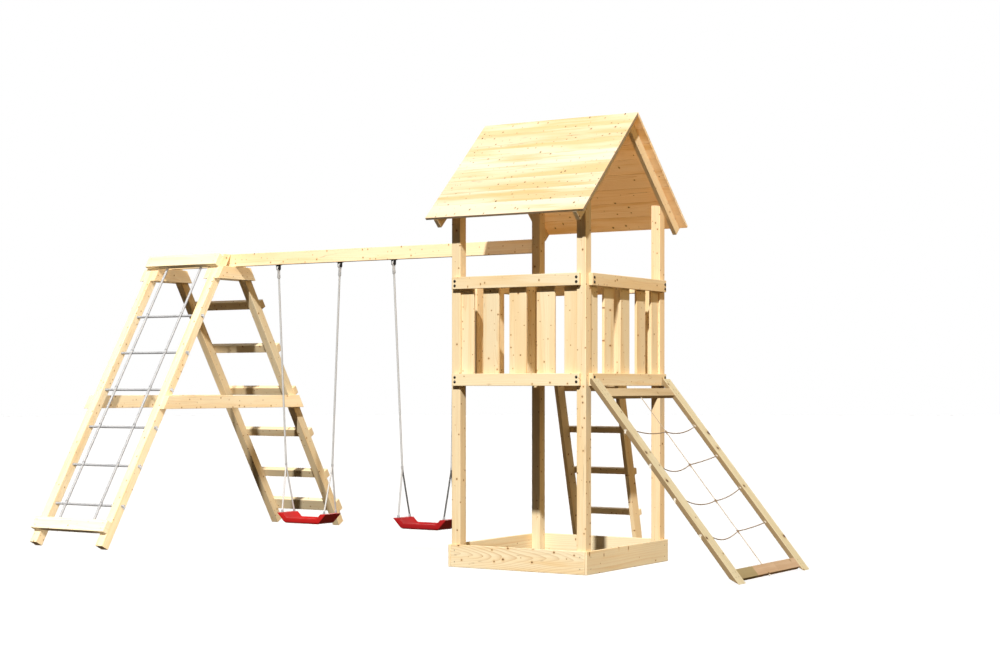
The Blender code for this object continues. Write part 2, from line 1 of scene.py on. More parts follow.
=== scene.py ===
"""The looks of the garden play tower: every board, rope, bolt and seat as its own
finished piece, laid on the frame.  Metres, +Z up, same place as the frame."""
import bpy
import bmesh
import random
import numpy as np
from math import radians, sin, cos, tan, pi, sqrt, atan2
from mathutils import Vector, Matrix


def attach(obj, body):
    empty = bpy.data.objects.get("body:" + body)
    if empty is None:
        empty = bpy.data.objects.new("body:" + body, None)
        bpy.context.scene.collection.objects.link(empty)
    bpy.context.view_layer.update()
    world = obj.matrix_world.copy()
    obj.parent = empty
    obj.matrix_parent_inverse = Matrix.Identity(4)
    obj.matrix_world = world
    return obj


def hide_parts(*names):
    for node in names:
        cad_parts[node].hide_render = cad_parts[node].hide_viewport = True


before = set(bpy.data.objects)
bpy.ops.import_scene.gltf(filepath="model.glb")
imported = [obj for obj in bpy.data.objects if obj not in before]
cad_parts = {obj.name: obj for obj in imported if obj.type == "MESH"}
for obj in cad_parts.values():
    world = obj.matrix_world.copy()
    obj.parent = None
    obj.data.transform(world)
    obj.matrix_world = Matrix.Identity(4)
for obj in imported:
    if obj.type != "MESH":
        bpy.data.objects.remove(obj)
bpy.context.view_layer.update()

# ------------------------------------------------------------------ dimensions
# the same driving dimensions as the construction, x along the beam, y to the back
GAP = 0.0003
W = 1.0357
POST = 0.068
POST_TOP = 2.420
RAIL_T, RAIL_H = 0.028, 0.080
RAIL_FRONT, RAIL_SIDE = (0.022, 1.002), (0.036, 1.008)
TOP_RAIL_Z, LOW_RAIL_Z = 1.830, 1.194
PLANK_T, PLANK_INSET, PLANK_Z0, PLANK_Z1 = 0.018, 0.012, 1.206, 1.898
FRONT_PLANKS = ((0.0695, 0.167), (0.243, 0.365), (0.448, 0.578), (0.659, 0.795), (0.868, 0.9662))
SIDE_PLANKS = ((0.0695, 0.168), (0.249, 0.371), (0.456, 0.577), (0.672, 0.790), (0.870, 0.9662))
REAR_PLANKS = ((0.640, 0.765), (0.868, 0.9662))
BOX_T, BOX_H = 0.0172, 0.149
DECK_TOP, DECK_T, DECK_BOARDS, DECK_GAP, JOIST_H = 1.250, 0.018, 9, 0.006, 0.034
RIDGE_Y, RIDGE_Z, EAVE_RUN = 0.518, 2.985, 0.693
ROOF_X0, ROOF_X1, ROOF_T = -0.090, 1.122, 0.018
RAFTER_T, RAFTER_D = 0.030, 0.068
LAD_X = ((0.125, 0.155), (0.620, 0.650))
LAD_A = radians(13.3)
LAD_D, LAD_TOP, LAD_RUNG_H, LAD_RUNG_T = 0.088, 1.270, 0.044, 0.033
LAD_RUNG_Z = (0.273, 0.566, 0.859, 1.155)
RAMP_TOP, RAMP_CUT = Vector((1.066, 0, 1.255)), 1.2407
RAMP_SLOPE, RAMP_T, RAMP_W, RAMP_FOOT = 1.2, 0.030, 0.095, radians(25)
RAMP_BOARD_TOP, RAMP_BOARD_LOW = (0.098, 0.163), (1.526, 1.598)
ROPE_R, ROPE_Y = 0.0036, 0.490
CROSS = ((0.430, 0.454, 0.418, 0.016, 0.026), (0.705, 0.725, 0.672, 0.043, 0.004),
         (0.975, 1.016, 0.942, 0.030, 0.015), (1.251, 1.260, 1.227, 0.042, 0.005))
YB, BEAM_T, BEAM_H, BEAM_Z0, BEAM_X0 = 1.0026, 0.0450, 0.0976, 2.1367, -3.643
LEG, LEAN, LEG_TOP, LEG_HALF = 0.068, radians(30), 2.2343, 1.3129
NEAR_X, FAR_X = (-2.912, -2.844), (-3.598, -3.530)
TIE_T, TIE_Z0, BAR_Z, BOARD_T = 0.045, 2.036, (1.020, 1.120), 0.045
BOARD_TOP_S, BOARD_LOW_S = (2.420, 2.520), (0.095, 0.190)
RUNG_S, RUNG_W, STEP_S = (0.470, 0.880, 1.285, 1.690, 2.090), 0.068, (0.100, 0.200)
NET_S, NET_X, NET_R = (0.339, 0.670, 0.998, 1.326, 1.657, 1.990), (-3.410, -3.050), 0.0100
HANGER_X = ((-2.372, -1.762), (-1.251, -0.691))
SPLIT_X, SPLIT_Z = ((-2.296, -1.837), (-1.171, -0.722)), 0.585
SEAT_X, SEAT_HOLE = (-2.0665, -0.9465), (0.207, 0.070)
PIVOT_Z, SWING_R, PIN_R = BEAM_Z0 - 0.0305, 0.0080, 0.0065
SEAT_Z0, SEAT_Z1 = 0.140, 0.218
CX, CY = (BEAM_X0 + 2.112) / 2, YB

EX, EY, EZ = Vector((1, 0, 0)), Vector((0, 1, 0)), Vector((0, 0, 1))


def P(x, y, z):
    return Vector((x - CX, y - CY, z))


# ------------------------------------------------------------------ camera
cam = bpy.data.objects.new("camera", bpy.data.cameras.new("camera"))
bpy.context.scene.collection.objects.link(cam)
cam.location = (7.5415, -10.4476, 1.1912)
cam.rotation_euler = (pi / 2, 0, 0.5309)
cam.data.sensor_width = 36
cam.data.lens = 63.08
cam.data.shift_x = -0.1124
cam.data.shift_y = 0.0528
cam.data.clip_end = 200
bpy.context.scene.camera = cam


# ------------------------------------------------------------------ node helper
class Nodes:
    """Short way to write a material's node tree."""

    def __init__(self, name):
        self.mat = bpy.data.materials.new(name)
        self.mat.use_nodes = True
        self.t = self.mat.node_tree
        self.t.nodes.clear()
        self.out = self.t.nodes.new("ShaderNodeOutputMaterial")
        self.bsdf = self.t.nodes.new("ShaderNodeBsdfPrincipled")
        self.t.links.new(self.bsdf.outputs[0], self.out.inputs[0])

    def node(self, kind, **props):
        n = self.t.nodes.new("ShaderNode" + kind)
        for k, v in props.items():
            setattr(n, k, v)
        return n

    def put(self, socket, value):
        if hasattr(value, "is_linked") or hasattr(value, "links"):
            self.t.links.new(value, socket)
        elif isinstance(value, (tuple, list)) and len(value) == 3 and socket.type == 'RGBA':
            socket.default_value = (*value, 1)
        else:
            socket.default_value = value

    def math(self, op, a, b=None, c=None, clamp=False):
        n = self.node("Math", operation=op, use_clamp=clamp)
        for i, v in enumerate((a, b, c)):
            if v is not None:
                self.put(n.inputs[i], v)
        return n.outputs[0]

    def vec(self, op, a, b=None, scale=None):
        n = self.node("VectorMath", operation=op)
        self.put(n.inputs[0], a)
        if b is not None:
            self.put(n.inputs[1], b)
        if scale is not None:
            self.put(n.inputs["Scale"], scale)
        return n.outputs["Value"] if op in ("LENGTH", "DOT_PRODUCT", "DISTANCE") else n.outputs[0]

    def mix(self, fac, a, b, blend='MIX'):
        n = self.node("Mix", data_type='RGBA', blend_type=blend)
        n.clamp_factor = True
        self.put(n.inputs[0], fac)
        self.put(n.inputs[6], a)
        self.put(n.inputs[7], b)
        return n.outputs[2]

    def noise(self, vector, scale=1.0, detail=2.0, rough=0.5, distort=0.0):
        n = self.node("TexNoise", noise_dimensions='3D')
        self.put(n.inputs["Vector"], vector)
        n.inputs["Scale"].default_value = scale
        n.inputs["Detail"].default_value = detail
        n.inputs["Roughness"].default_value = rough
        n.inputs["Distortion"].default_value = distort
        return n.outputs[0]

    def step(self, v, lo, hi, a=0.0, b=1.0):
        n = self.node("MapRange", interpolation_type='SMOOTHSTEP')
        self.put(n.inputs[0], v)
        n.inputs[1].default_value, n.inputs[2].default_value = lo, hi
        n.inputs[3].default_value, n.inputs[4].default_value = a, b
        return n.outputs[0]

    def linear(self, v, lo, hi, a=0.0, b=1.0):
        n = self.node("MapRange", interpolation_type='LINEAR', clamp=True)
        self.put(n.inputs[0], v)
        n.inputs[1].default_value, n.inputs[2].default_value = lo, hi
        n.inputs[3].default_value, n.inputs[4].default_value = a, b
        return n.outputs[0]

    def ramp(self, v, stops):
        n = self.node("ValToRGB")
        self.put(n.inputs[0], v)
        e = n.color_ramp.elements
        while len(e) > 1:
            e.remove(e[-1])
        for i, (pos, rgb) in enumerate(stops):
            q = e[0] if i == 0 else e.new(pos)
            q.position = pos
            q.color = (*rgb, 1)
        return n.outputs[0]

    def bump(self, height, strength, distance):
        n = self.node("Bump")
        n.inputs["Strength"].default_value = strength
        n.inputs["Distance"].default_value = distance
        self.put(n.inputs["Height"], height)
        self.t.links.new(n.outputs[0], self.bsdf.inputs["Normal"])

    def combine(self, x, y, z):
        n = self.node("CombineXYZ")
        for i, v in enumerate((x, y, z)):
            self.put(n.inputs[i], v)
        return n.outputs[0]


# ------------------------------------------------------------------ materials
def wood(name, pale, warm, late, band, knots, cell, keep, size, ends, rough, heart=False, streaks=0.62, grain=0.60,
         narrow=None, patch=0.25, rings=0.0032, flame=False, end_mix=0.45):
    """Planed softwood.  A board's own x runs along the grain.  Growth rings lie
    round a pith, inside a post or beside a board; knots grow out from it as small
    brown cones with a halo that bends the rings.  Each board has its own tone from
    its object colour."""
    k = Nodes(name)
    own = k.node("TexCoord").outputs["Object"]
    sep = k.node("SeparateColor")
    k.put(sep.inputs[0], k.node("ObjectInfo").outputs["Color"])
    r1, r2, r3 = sep.outputs[0], sep.outputs[1], sep.outputs[2]
    seed = k.combine(k.math('MULTIPLY', r1, 37.0), k.math('MULTIPLY', r2, 53.0), k.math('MULTIPLY', r3, 71.0))
    p = k.vec('ADD', own, seed)

    # distance and direction from the pith
    if flame:
        py, pz = k.math('MULTIPLY_ADD', r1, 0.04, -0.030), k.math('MULTIPLY_ADD', r2, 0.110, 0.047)
    elif heart:
        py, pz = k.math('MULTIPLY_ADD', r1, 0.014, -0.007), k.math('MULTIPLY_ADD', r2, 0.014, -0.007)
    else:
        py, pz = k.math('MULTIPLY_ADD', r1, 0.16, -0.08), k.math('MULTIPLY_ADD', r2, 0.110, 0.047)
    q = k.vec('MULTIPLY', k.vec('ADD', own, k.combine(0.0, py, pz)), (0.0, 1.0, 1.0))
    qs, xs = k.node("SeparateXYZ"), k.node("SeparateXYZ")
    k.put(qs.inputs[0], q)
    k.put(xs.inputs[0], own)
    a, b = qs.outputs[1], qs.outputs[2]
    if heart:                                   # the seam runs to a corner
        a, b = k.math('SUBTRACT', a, b), k.math('ADD', a, b)
        turn = k.math('MULTIPLY', k.math('ARCTAN2', a, b), 0.64)
    else:
        turn = k.math('MULTIPLY', k.math('ARCTAN2', a, b), k.math('DIVIDE', k.math('ADD', pz, 0.012), cell))

    # knots
    kv = k.combine(k.math('ADD', k.math('DIVIDE', xs.outputs[0], cell * 1.15), k.math('MULTIPLY', r3, 71.0)),
                   k.math('ADD', turn, k.math('MULTIPLY', r1, 37.0)), 0.0)
    wob = k.noise(k.vec('MULTIPLY', p, (60, 90, 90)), detail=1.0)
    vor = k.node("TexVoronoi", voronoi_dimensions='2D', feature='F1')
    k.put(vor.inputs["Vector"], kv)
    vor.inputs["Scale"].default_value = 1.0
    vor.inputs["Randomness"].default_value = 1.0
    vc = k.node("SeparateColor")
    k.put(vc.inputs[0], vor.outputs["Color"])
    radius = k.math('MULTIPLY_ADD', k.math('POWER', vc.outputs[1], 1.6), size * 1.05, size * 0.50)
    kept = k.math('GREATER_THAN', vc.outputs[0], keep)
    dead = k.math('MULTIPLY', kept, k.math('MULTIPLY_ADD', k.math('GREATER_THAN', vc.outputs[2], 0.45), 0.75, 0.25))
    near = k.math('DIVIDE', k.math('MULTIPLY_ADD', wob, 0.022, k.math('SUBTRACT', vor.outputs["Distance"], 0.011)), radius)
    core = k.math('MULTIPLY', k.step(near, 1.15, 0.80), kept)
    rim = k.math('MULTIPLY', k.math('MULTIPLY', k.step(near, 0.55, 0.95), k.step(near, 1.32, 1.02)), dead)
    halo = k.math('MULTIPLY', k.step(near, 3.4, 0.9), kept)

    # growth rings
    wave = k.noise(k.vec('MULTIPLY', p, (0.85, 5.0, 5.0)), detail=2.0)
    fine = k.noise(k.vec('MULTIPLY', p, (6.0, 34.0, 34.0)), detail=2.0)
    if flame:                                   # flat-sawn: the rings run out in long tongues
        across = k.math('SQRT', k.math('MULTIPLY_ADD', qs.outputs[1], qs.outputs[1], 0.00012))
        d = k.math('MULTIPLY_ADD', xs.outputs[0], 0.042, k.math('MULTIPLY', across, 0.25))
        d = k.math('ADD', d, k.math('MULTIPLY', wave, 0.045))
    else:
        d = k.math('ADD', k.vec('LENGTH', q), k.math('MULTIPLY', wave, 0.030))
    d = k.math('ADD', d, k.math('MULTIPLY', fine, 0.0022))
    d = k.math('ADD', d, k.math('MULTIPLY', k.math('MULTIPLY', halo, halo), 0.0055))
    ring = k.math('FRACT', k.math('DIVIDE', d, k.math('MULTIPLY_ADD', r3, rings * 0.6, rings)))
    lat = k.math('MULTIPLY', k.math('POWER', ring, 3.2), k.step(ring, 1.0, 0.93))
    lat = k.math('MULTIPLY', lat, k.linear(k.noise(k.vec('MULTIPLY', p, (1.3, 9.0, 9.0)), detail=1.0), 0.3, 0.7, 0.25, 1.0))

    # broad streaks and fibres
    streak = k.noise(k.vec('MULTIPLY', p, (1.1, 17.0, 17.0)), detail=3.0, rough=0.60)
    streak2 = k.noise(k.vec('MULTIPLY', k.vec('ADD', p, (7.1, 3.3, 1.7)), (0.7, 8.0, 8.0)), detail=2.0)
    fibre = k.noise(k.vec('MULTIPLY', p, (11.0, 430.0, 430.0)), detail=3.0, rough=0.65)
    pore = k.noise(k.vec('MULTIPLY', p, (45.0, 900.0, 900.0)), detail=1.0)

    base = k.mix(k.math('MULTIPLY_ADD', r2, 0.60, k.linear(streak2, 0.35, 0.70, -0.10, 0.50)), pale, warm)
    base = k.mix(k.step(streak, 0.50, 0.72, 0.0, streaks), base, band)
    base = k.mix(k.step(k.math('MULTIPLY_ADD', streak, 0.25, streak2), 0.62, 0.76, 0.0, patch), base, band)
    base = k.mix(k.math('MULTIPLY', lat, grain), base, late)
    # hair-fine drying checks along the grain
    line = k.noise(k.vec('MULTIPLY', k.vec('ADD', p, (2.7, 9.1, 4.3)), (1.0, 30.0, 30.0)), detail=1.0)
    check = k.math('MULTIPLY', k.step(k.math('ABSOLUTE', k.math('SUBTRACT', line, 0.5)), 0.0065, 0.0018),
                   k.step(k.noise(k.vec('MULTIPLY', p, (2.6, 8.0, 8.0)), detail=0.0), 0.63, 0.68))
    base = k.mix(k.math('MULTIPLY', halo, 0.50), base, knots[2])
    base = k.mix(k.math('MULTIPLY', core, 0.95), base, knots[1])
    base = k.mix(k.math('MULTIPLY', rim, 0.90), base, knots[0])
    base = k.mix(k.math('MULTIPLY', check, 0.40), base, knots[1])
    tone = k.math('MULTIPLY_ADD', r3, 0.10, 0.95)
    tone = k.math('MULTIPLY', tone, k.linear(fibre, 0.25, 0.75, 0.955, 1.035))
    tone = k.math('MULTIPLY', tone, k.linear(pore, 0.30, 0.60, 0.97, 1.01))
    end = k.node("Attribute", attribute_name="end_grain").outputs["Fac"]
    edge = k.node("Attribute", attribute_name="rounded").outputs["Fac"]
    base = k.mix(k.math('MULTIPLY', end, end_mix), base, ends)
    # a board's sides and back painted darker: painted shade
    if narrow:
        base = k.mix(k.math('MULTIPLY', k.node("Attribute", attribute_name="narrow").outputs["Fac"], 0.88), base, narrow)
    # rounded edges painted a little lighter: a painted highlight
    tone = k.math('MULTIPLY', tone, k.math('MULTIPLY_ADD', edge, 0.05, 1.0))
    col = k.vec('SCALE', base, scale=tone)
    k.put(k.bsdf.inputs["Base Color"], col)
    k.put(k.bsdf.inputs["Roughness"], k.math('ADD', k.linear(fibre, 0.2, 0.8, rough - 0.05, rough + 0.09),
                                              k.math('MULTIPLY', core, -0.14)))
    k.bsdf.inputs["Specular IOR Level"].default_value = 0.30
    h = k.math('MULTIPLY_ADD', fibre, 0.45, k.math('MULTIPLY', lat, 0.40))
    h = k.math('ADD', h, k.math('MULTIPLY', check, -1.2))
    h = k.math('ADD', h, k.math('MULTIPLY', rim, -0.5))
    k.bump(h, 0.30, 0.0008)
    return k.mat


EYES = ((0.085, 0.034, 0.013), (0.24, 0.112, 0.042), (0.72, 0.43, 0.165))
PLANED = dict(pale=(0.88, 0.765, 0.535), warm=(0.86, 0.675, 0.415), late=(0.70, 0.44, 0.20), band=(0.82, 0.58, 0.29),
              knots=EYES, ends=(0.83, 0.66, 0.42), rough=0.62)
SPRUCE = wood("spruce_planed", cell=0.062, keep=0.26, size=0.044, **PLANED)
SPRUCE_POST = wood("spruce_post", cell=0.060, keep=0.34, size=0.048, heart=True, **PLANED)
SPRUCE_POST_WARM = wood("spruce_post_warm", cell=0.060, keep=0.34, size=0.048, heart=True,
                        **{**PLANED, "pale": (0.88, 0.685, 0.44), "warm": (0.86, 0.605, 0.34)})
SPRUCE_BOX = wood("spruce_box", cell=0.080, keep=0.34, size=0.046, streaks=0.60, grain=0.80, patch=0.4, rings=0.0075, **PLANED)
SPRUCE_FLAME = wood("spruce_flame", cell=0.080, keep=0.34, size=0.048, streaks=0.60, grain=0.85, patch=0.4, rings=0.0036,
                    flame=True, **{**PLANED, "late": (0.56, 0.315, 0.125)})
SPRUCE_PALE = wood("spruce_pale", pale=(0.89, 0.81, 0.62), warm=(0.87, 0.76, 0.53), late=(0.75, 0.53, 0.28),
                   band=(0.83, 0.65, 0.38), knots=EYES, cell=0.080, keep=0.45, size=0.036, ends=(0.85, 0.74, 0.52), rough=0.62)
ROOF = dict(pale=(0.92, 0.785, 0.62), warm=(0.86, 0.64, 0.405), late=(0.57, 0.35, 0.13), band=(0.70, 0.485, 0.205),
            knots=((0.010, 0.007, 0.004), (0.022, 0.014, 0.007), (0.58, 0.41, 0.18)), rough=0.62, streaks=0.70)
# the front slope's end faces are painted very dark: darker end grain plus painted shade standing in for the shade along
# that gable edge
SPRUCE_ROOF_PAINTED_END_SHADE = wood("spruce_roof", cell=0.062, keep=0.22, size=0.044, grain=0.60, patch=0.62, ends=(0.26, 0.20, 0.125),
                   end_mix=0.85, **ROOF)
SPRUCE_UNDER = wood("spruce_roof_rear", cell=0.085, keep=0.62, size=0.040, grain=0.50, patch=0.45, ends=(0.78, 0.66, 0.45), **ROOF)
PINE_EYES = ((0.05, 0.025, 0.012), (0.15, 0.075, 0.035), (0.36, 0.24, 0.11))
# the ramp stiles' sides and back are painted dark brown as painted shade
TREATED = wood("pine_treated", pale=(0.635, 0.575, 0.405), warm=(0.575, 0.495, 0.325), late=(0.40, 0.31, 0.155),
               band=(0.51, 0.425, 0.245), knots=PINE_EYES, cell=0.120, keep=0.45, size=0.055, ends=(0.42, 0.33, 0.19),
               rough=0.64, narrow=(0.27, 0.175, 0.080))
TREATED_TAN = wood("pine_treated_tan", pale=(0.56, 0.445, 0.275), warm=(0.51, 0.39, 0.235), late=(0.33, 0.22, 0.11),
                   band=(0.42, 0.30, 0.155), knots=PINE_EYES, cell=0.120, keep=0.55, size=0.050, ends=(0.38, 0.27, 0.15),
                   rough=0.64)
TREATED_GREEN = wood("pine_treated_green", pale=(0.34, 0.275, 0.145), warm=(0.30, 0.235, 0.12), late=(0.20, 0.15, 0.07),
                     band=(0.27, 0.205, 0.10), knots=PINE_EYES, cell=0.110, keep=0.60, size=0.050, ends=(0.26, 0.20, 0.11),
                     rough=0.64)
TREATED_BROWN = wood("pine_treated_brown", pale=(0.53, 0.385, 0.255), warm=(0.475, 0.325, 0.21), late=(0.31, 0.19, 0.105),
                     band=(0.42, 0.275, 0.16), knots=PINE_EYES, cell=0.110, keep=0.60, size=0.050, ends=(0.28, 0.18, 0.10),
                     rough=0.64)


def rope_material(name, dark, light, rough):
    """Laid rope: fibres along the strands, paler on their crowns and painted darker in the grooves between the strands
    as painted shade.
    """
    k = Nodes(name)
    tc = k.node("TexCoord")
    own = tc.outputs["Object"]
    crown = k.node("Attribute", attribute_name="crown").outputs["Fac"]
    fib = k.noise(own, scale=900.0, detail=2.0)
    soil = k.noise(own, scale=16.0, detail=3.0)
    # grooves between strands painted dark, crowns light: painted shade
    base = k.mix(k.linear(crown, 0.0, 1.0, 0.08, 0.95), dark, light)
    base = k.mix(k.linear(soil, 0.35, 0.75, 0.0, 0.30), base, dark)
    tone = k.linear(fib, 0.3, 0.7, 0.86, 1.10)
    k.put(k.bsdf.inputs["Base Color"], k.vec('SCALE', base, scale=tone))
    k.put(k.bsdf.inputs["Roughness"], k.linear(fib, 0.3, 0.7, rough - 0.06, rough + 0.10))
    k.bsdf.inputs["Specular IOR Level"].default_value = 0.40
    k.bsdf.inputs["Sheen Weight"].default_value = 0.15
    k.bump(fib, 0.35, 0.0004)
    return k.mat


# one grey rope in three copies: the white one is painted light, the dark one painted shade
ROPE_PAINTED_LIT = rope_material("rope_white", (0.55, 0.55, 0.56), (0.88, 0.88, 0.89), 0.55)
ROPE_LIGHT = rope_material("rope_light_grey", (0.34, 0.345, 0.355), (0.72, 0.73, 0.75), 0.55)
ROPE_PAINTED_SHADE = rope_material("rope_dark_grey", (0.030, 0.031, 0.034), (0.145, 0.15, 0.16), 0.55)
ROPE_NET = rope_material("rope_net_grey", (0.20, 0.205, 0.22), (0.66, 0.67, 0.70), 0.50)
ROPE_HEMP = rope_material("rope_hemp", (0.15, 0.09, 0.05), (0.43, 0.31, 0.20), 0.85)
ROPE_THIN = rope_material("rope_hemp_pale", (0.34, 0.25, 0.16), (0.68, 0.56, 0.41), 0.85)
ROPE_END = rope_material("rope_frayed", (0.55, 0.49, 0.40), (0.88, 0.85, 0.78), 0.90)


def plain(name, rgb, rough, metal=0.0, spread=0.10, scale=60.0, bump=0.15, coat=0.0, grime=(0.5, 0.5, 0.5)):
    """Moulded or metal surface with a fine uneven skin and slight handling wear; its rounded edges are painted lighter
    as a painted highlight.
    """
    k = Nodes(name)
    tc = k.node("TexCoord")
    own = tc.outputs["Object"]
    fine = k.noise(own, scale=scale * 14, detail=2.0)
    soft = k.noise(own, scale=scale * 0.35, detail=3.0)
    dark = tuple(c * g for c, g in zip(rgb, grime))
    base = k.mix(k.linear(soft, 0.30, 0.75, 0.0, 0.55), rgb, dark)
    # rounded edges painted lighter: a painted highlight
    edge = k.node("Attribute", attribute_name="rounded").outputs["Fac"]
    lift = tuple(min(1.0, c * 1.35 + 0.02) for c in rgb)
    base = k.mix(k.math('MULTIPLY', edge, 0.45), base, lift)
    k.put(k.bsdf.inputs["Base Color"], base)
    r = k.math('ADD', k.linear(soft, 0.3, 0.7, rough - spread / 2, rough + spread / 2),
               k.linear(fine, 0.3, 0.7, -0.03, 0.03))
    k.put(k.bsdf.inputs["Roughness"], r)
    k.bsdf.inputs["Metallic"].default_value = metal
    k.bsdf.inputs["Coat Weight"].default_value = coat
    k.bsdf.inputs["Coat Roughness"].default_value = 0.18
    k.bump(fine, bump, 0.0003)
    return k.mat


# the second seat's red is a darker copy of the first: painted shade, as that seat lies in shade
RED = [plain("red_moulded_1", (0.52, 0.011, 0.011), 0.50, spread=0.12, scale=40, bump=0.12, grime=(0.86, 0.8, 0.8)),
       plain("red_moulded_2", (0.39, 0.0085, 0.011), 0.50, spread=0.12, scale=40, bump=0.12, grime=(0.86, 0.8, 0.8))]
BLACK = plain("black_powder_coat", (0.022, 0.022, 0.024), 0.46, metal=0.0, scale=90, bump=0.3)
ZINC = plain("zinc_plated", (0.085, 0.080, 0.072), 0.30, metal=0.85, scale=120, bump=0.12, grime=(0.62, 0.62, 0.64))
SCREW = plain("screw_yellow_zinc", (0.30, 0.24, 0.14), 0.40, metal=0.8, scale=160, bump=0.12, grime=(0.6, 0.6, 0.6))
COLLAR = plain("grey_collar", (0.36, 0.38, 0.42), 0.45, scale=80, bump=0.2, grime=(0.8, 0.8, 0.8))


# ------------------------------------------------------------------ mesh helpers
def basis(centre, ax, ay, az):
    m = Matrix.Identity(4)
    for i, a in enumerate((ax, ay, az)):
        m[0][i], m[1][i], m[2][i] = a
    m.translation = centre
    return m


def mark(me, main=None, ends=True, narrow=False):
    """Face values that the materials read: end grain, rounded edges (faces that
    lie along none of the main directions, painted lighter as a painted highlight), and a board's sides and back
    (painted shade on the ramp's stiles)."""
    n = len(me.polygons)
    nor = np.zeros(n * 3, np.float32)
    me.polygons.foreach_get("normal", nor)
    nor = nor.reshape(-1, 3)
    if ends:
        a = me.attributes.new("end_grain", 'FLOAT', 'FACE')
        a.data.foreach_set("value", (np.abs(nor[:, 0]) > 0.70).astype(np.float32))
    if narrow:
        a = me.attributes.new("narrow", 'FLOAT', 'FACE')
        a.data.foreach_set("value", (nor[:, 2] < 0.60).astype(np.float32))
    if main is not None:
        dirs = np.array([tuple(v) for v in main], np.float32)
        best = (nor @ dirs.T).max(axis=1)
        rounded = best < 0.995
        a = me.attributes.new("rounded", 'FLOAT', 'FACE')
        a.data.foreach_set("value", rounded.astype(np.float32))
        me.polygons.foreach_set("use_smooth", rounded)


def cylinder(bm, a, b, r, seg=16, r2=None):
    d = b - a
    m = Matrix.Translation((a + b) / 2) @ d.to_track_quat('Z', 'Y').to_matrix().to_4x4()
    return bmesh.ops.create_cone(bm, cap_ends=True, segments=seg, radius1=r, radius2=r if r2 is None else r2,
                                 depth=d.length, matrix=m)


MADE = []


def place(name, me, mat, matrix=None, body="frame", nodes=(), colour=None):
    ob = bpy.data.objects.new(name, me)
    bpy.context.scene.collection.objects.link(ob)
    if matrix is not None:
        ob.matrix_world = matrix
    me.materials.clear()
    me.materials.append(mat)
    if colour is not None:
        ob.color = colour
    bpy.context.view_layer.update()
    MADE.append(ob)
    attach(ob, body)
    if nodes:
        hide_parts(*((nodes,) if isinstance(nodes, str) else nodes))
    return ob


def seeds(name):
    r = random.Random(name)
    return (r.random(), r.random(), r.random(), 1.0)


def cut(me, matrix, rods):
    """Bores through a mesh, each given by its two ends and radius in world space."""
    a = bpy.data.objects.new("a", me)
    bm = bmesh.new()
    inv = matrix.inverted()
    for p, q, r in rods:
        cylinder(bm, inv @ p, inv @ q, r, 20)
    tool = bpy.data.meshes.new("tool")
    bm.to_mesh(tool)
    bm.free()
    b = bpy.data.objects.new("b", tool)
    for o in (a, b):
        bpy.context.scene.collection.objects.link(o)
    m = a.modifiers.new("bore", 'BOOLEAN')
    m.operation = 'DIFFERENCE'
    m.solver = 'EXACT'
    m.object = b
    bpy.context.view_layer.update()
    out = bpy.data.meshes.new_from_object(a.evaluated_get(bpy.context.evaluated_depsgraph_get()))
    bpy.data.objects.remove(a, do_unlink=True)
    bpy.data.objects.remove(b, do_unlink=True)
    return out


def lumber(name, pts, ext, length, grain, face, mat=None, node=None, edge=0.0020, holes=(), slot="spruce",
           body="frame", tint=None, narrow=False):
    """One board.  pts is its outline halfway through, ext the way it is pushed,
    by length in all; grain is the way of the fibres and face its broad side."""
    mat = mat or SPRUCE
    g = grain.normalized()
    f = (face - g * face.dot(g)).normalized()
    y = f.cross(g)
    e = ext.normalized()
    both = [p + e * (s * (length - GAP) / 2) for p in pts for s in (-1, 1)]
    c = sum((a * (max(p.dot(a) for p in both) + min(p.dot(a) for p in both)) / 2 for a in (g, y, f)), Vector())
    m = basis(c, g, y, f)
    inv = m.inverted()
    bm = bmesh.new()
    lo = [bm.verts.new(inv @ (p - e * ((length - GAP) / 2))) for p in pts]
    hi = [bm.verts.new(inv @ (p + e * ((length - GAP) / 2))) for p in pts]
    bm.faces.new(lo)
    bm.faces.new(list(reversed(hi)))
    n = len(pts)
    for i in range(n):
        bm.faces.new((lo[i], hi[i], hi[(i + 1) % n], lo[(i + 1) % n]))
    bmesh.ops.recalc_face_normals(bm, faces=bm.faces)
    main = [q.normal.copy() for q in bm.faces]
    bmesh.ops.bevel(bm, geom=bm.edges[:], offset=edge, segments=2, profile=0.5, affect='EDGES',
                    clamp_overlap=True)
    me = bpy.data.meshes.new(name)
    bm.to_mesh(me)
    bm.free()
    if holes:
        me = cut(me, m, holes)
        me.name = name
    mark(me, main, narrow=narrow)
    col = list(seeds(name))
    if tint is not None:
        for i, v in enumerate(tint):
            if v is not None:
                col[i] = v
    return place(name, me, mat, m, body, node or (), col)


def beam_box(name, x, y, z, grain, face, **kw):
    """Straight board between two corners of the design's axes."""
    c = P(sum(x) / 2, sum(y) / 2, sum(z) / 2)
    hx, hz, ly = (x[1] - x[0] - GAP) / 2, (z[1] - z[0] - GAP) / 2, y[1] - y[0]
    pts = [c + Vector((a * hx, 0, b * hz)) for a, b in ((-1, -1), (1, -1), (1, 1), (-1, 1))]
    return lumber(name, pts, EY, ly, grain, face, **kw)


def slab(name, c, dims, axes, **kw):
    """Straight board of the given length, width and thickness on its own axes."""
    a, b, t = axes
    pts = [c + a * (i * (dims[0] - GAP) / 2) + b * (j * (dims[1] - GAP) / 2)
           for i, j in ((-1, -1), (1, -1), (1, 1), (-1, 1))]
    return lumber(name, pts, t, dims[2], a, t, **kw)


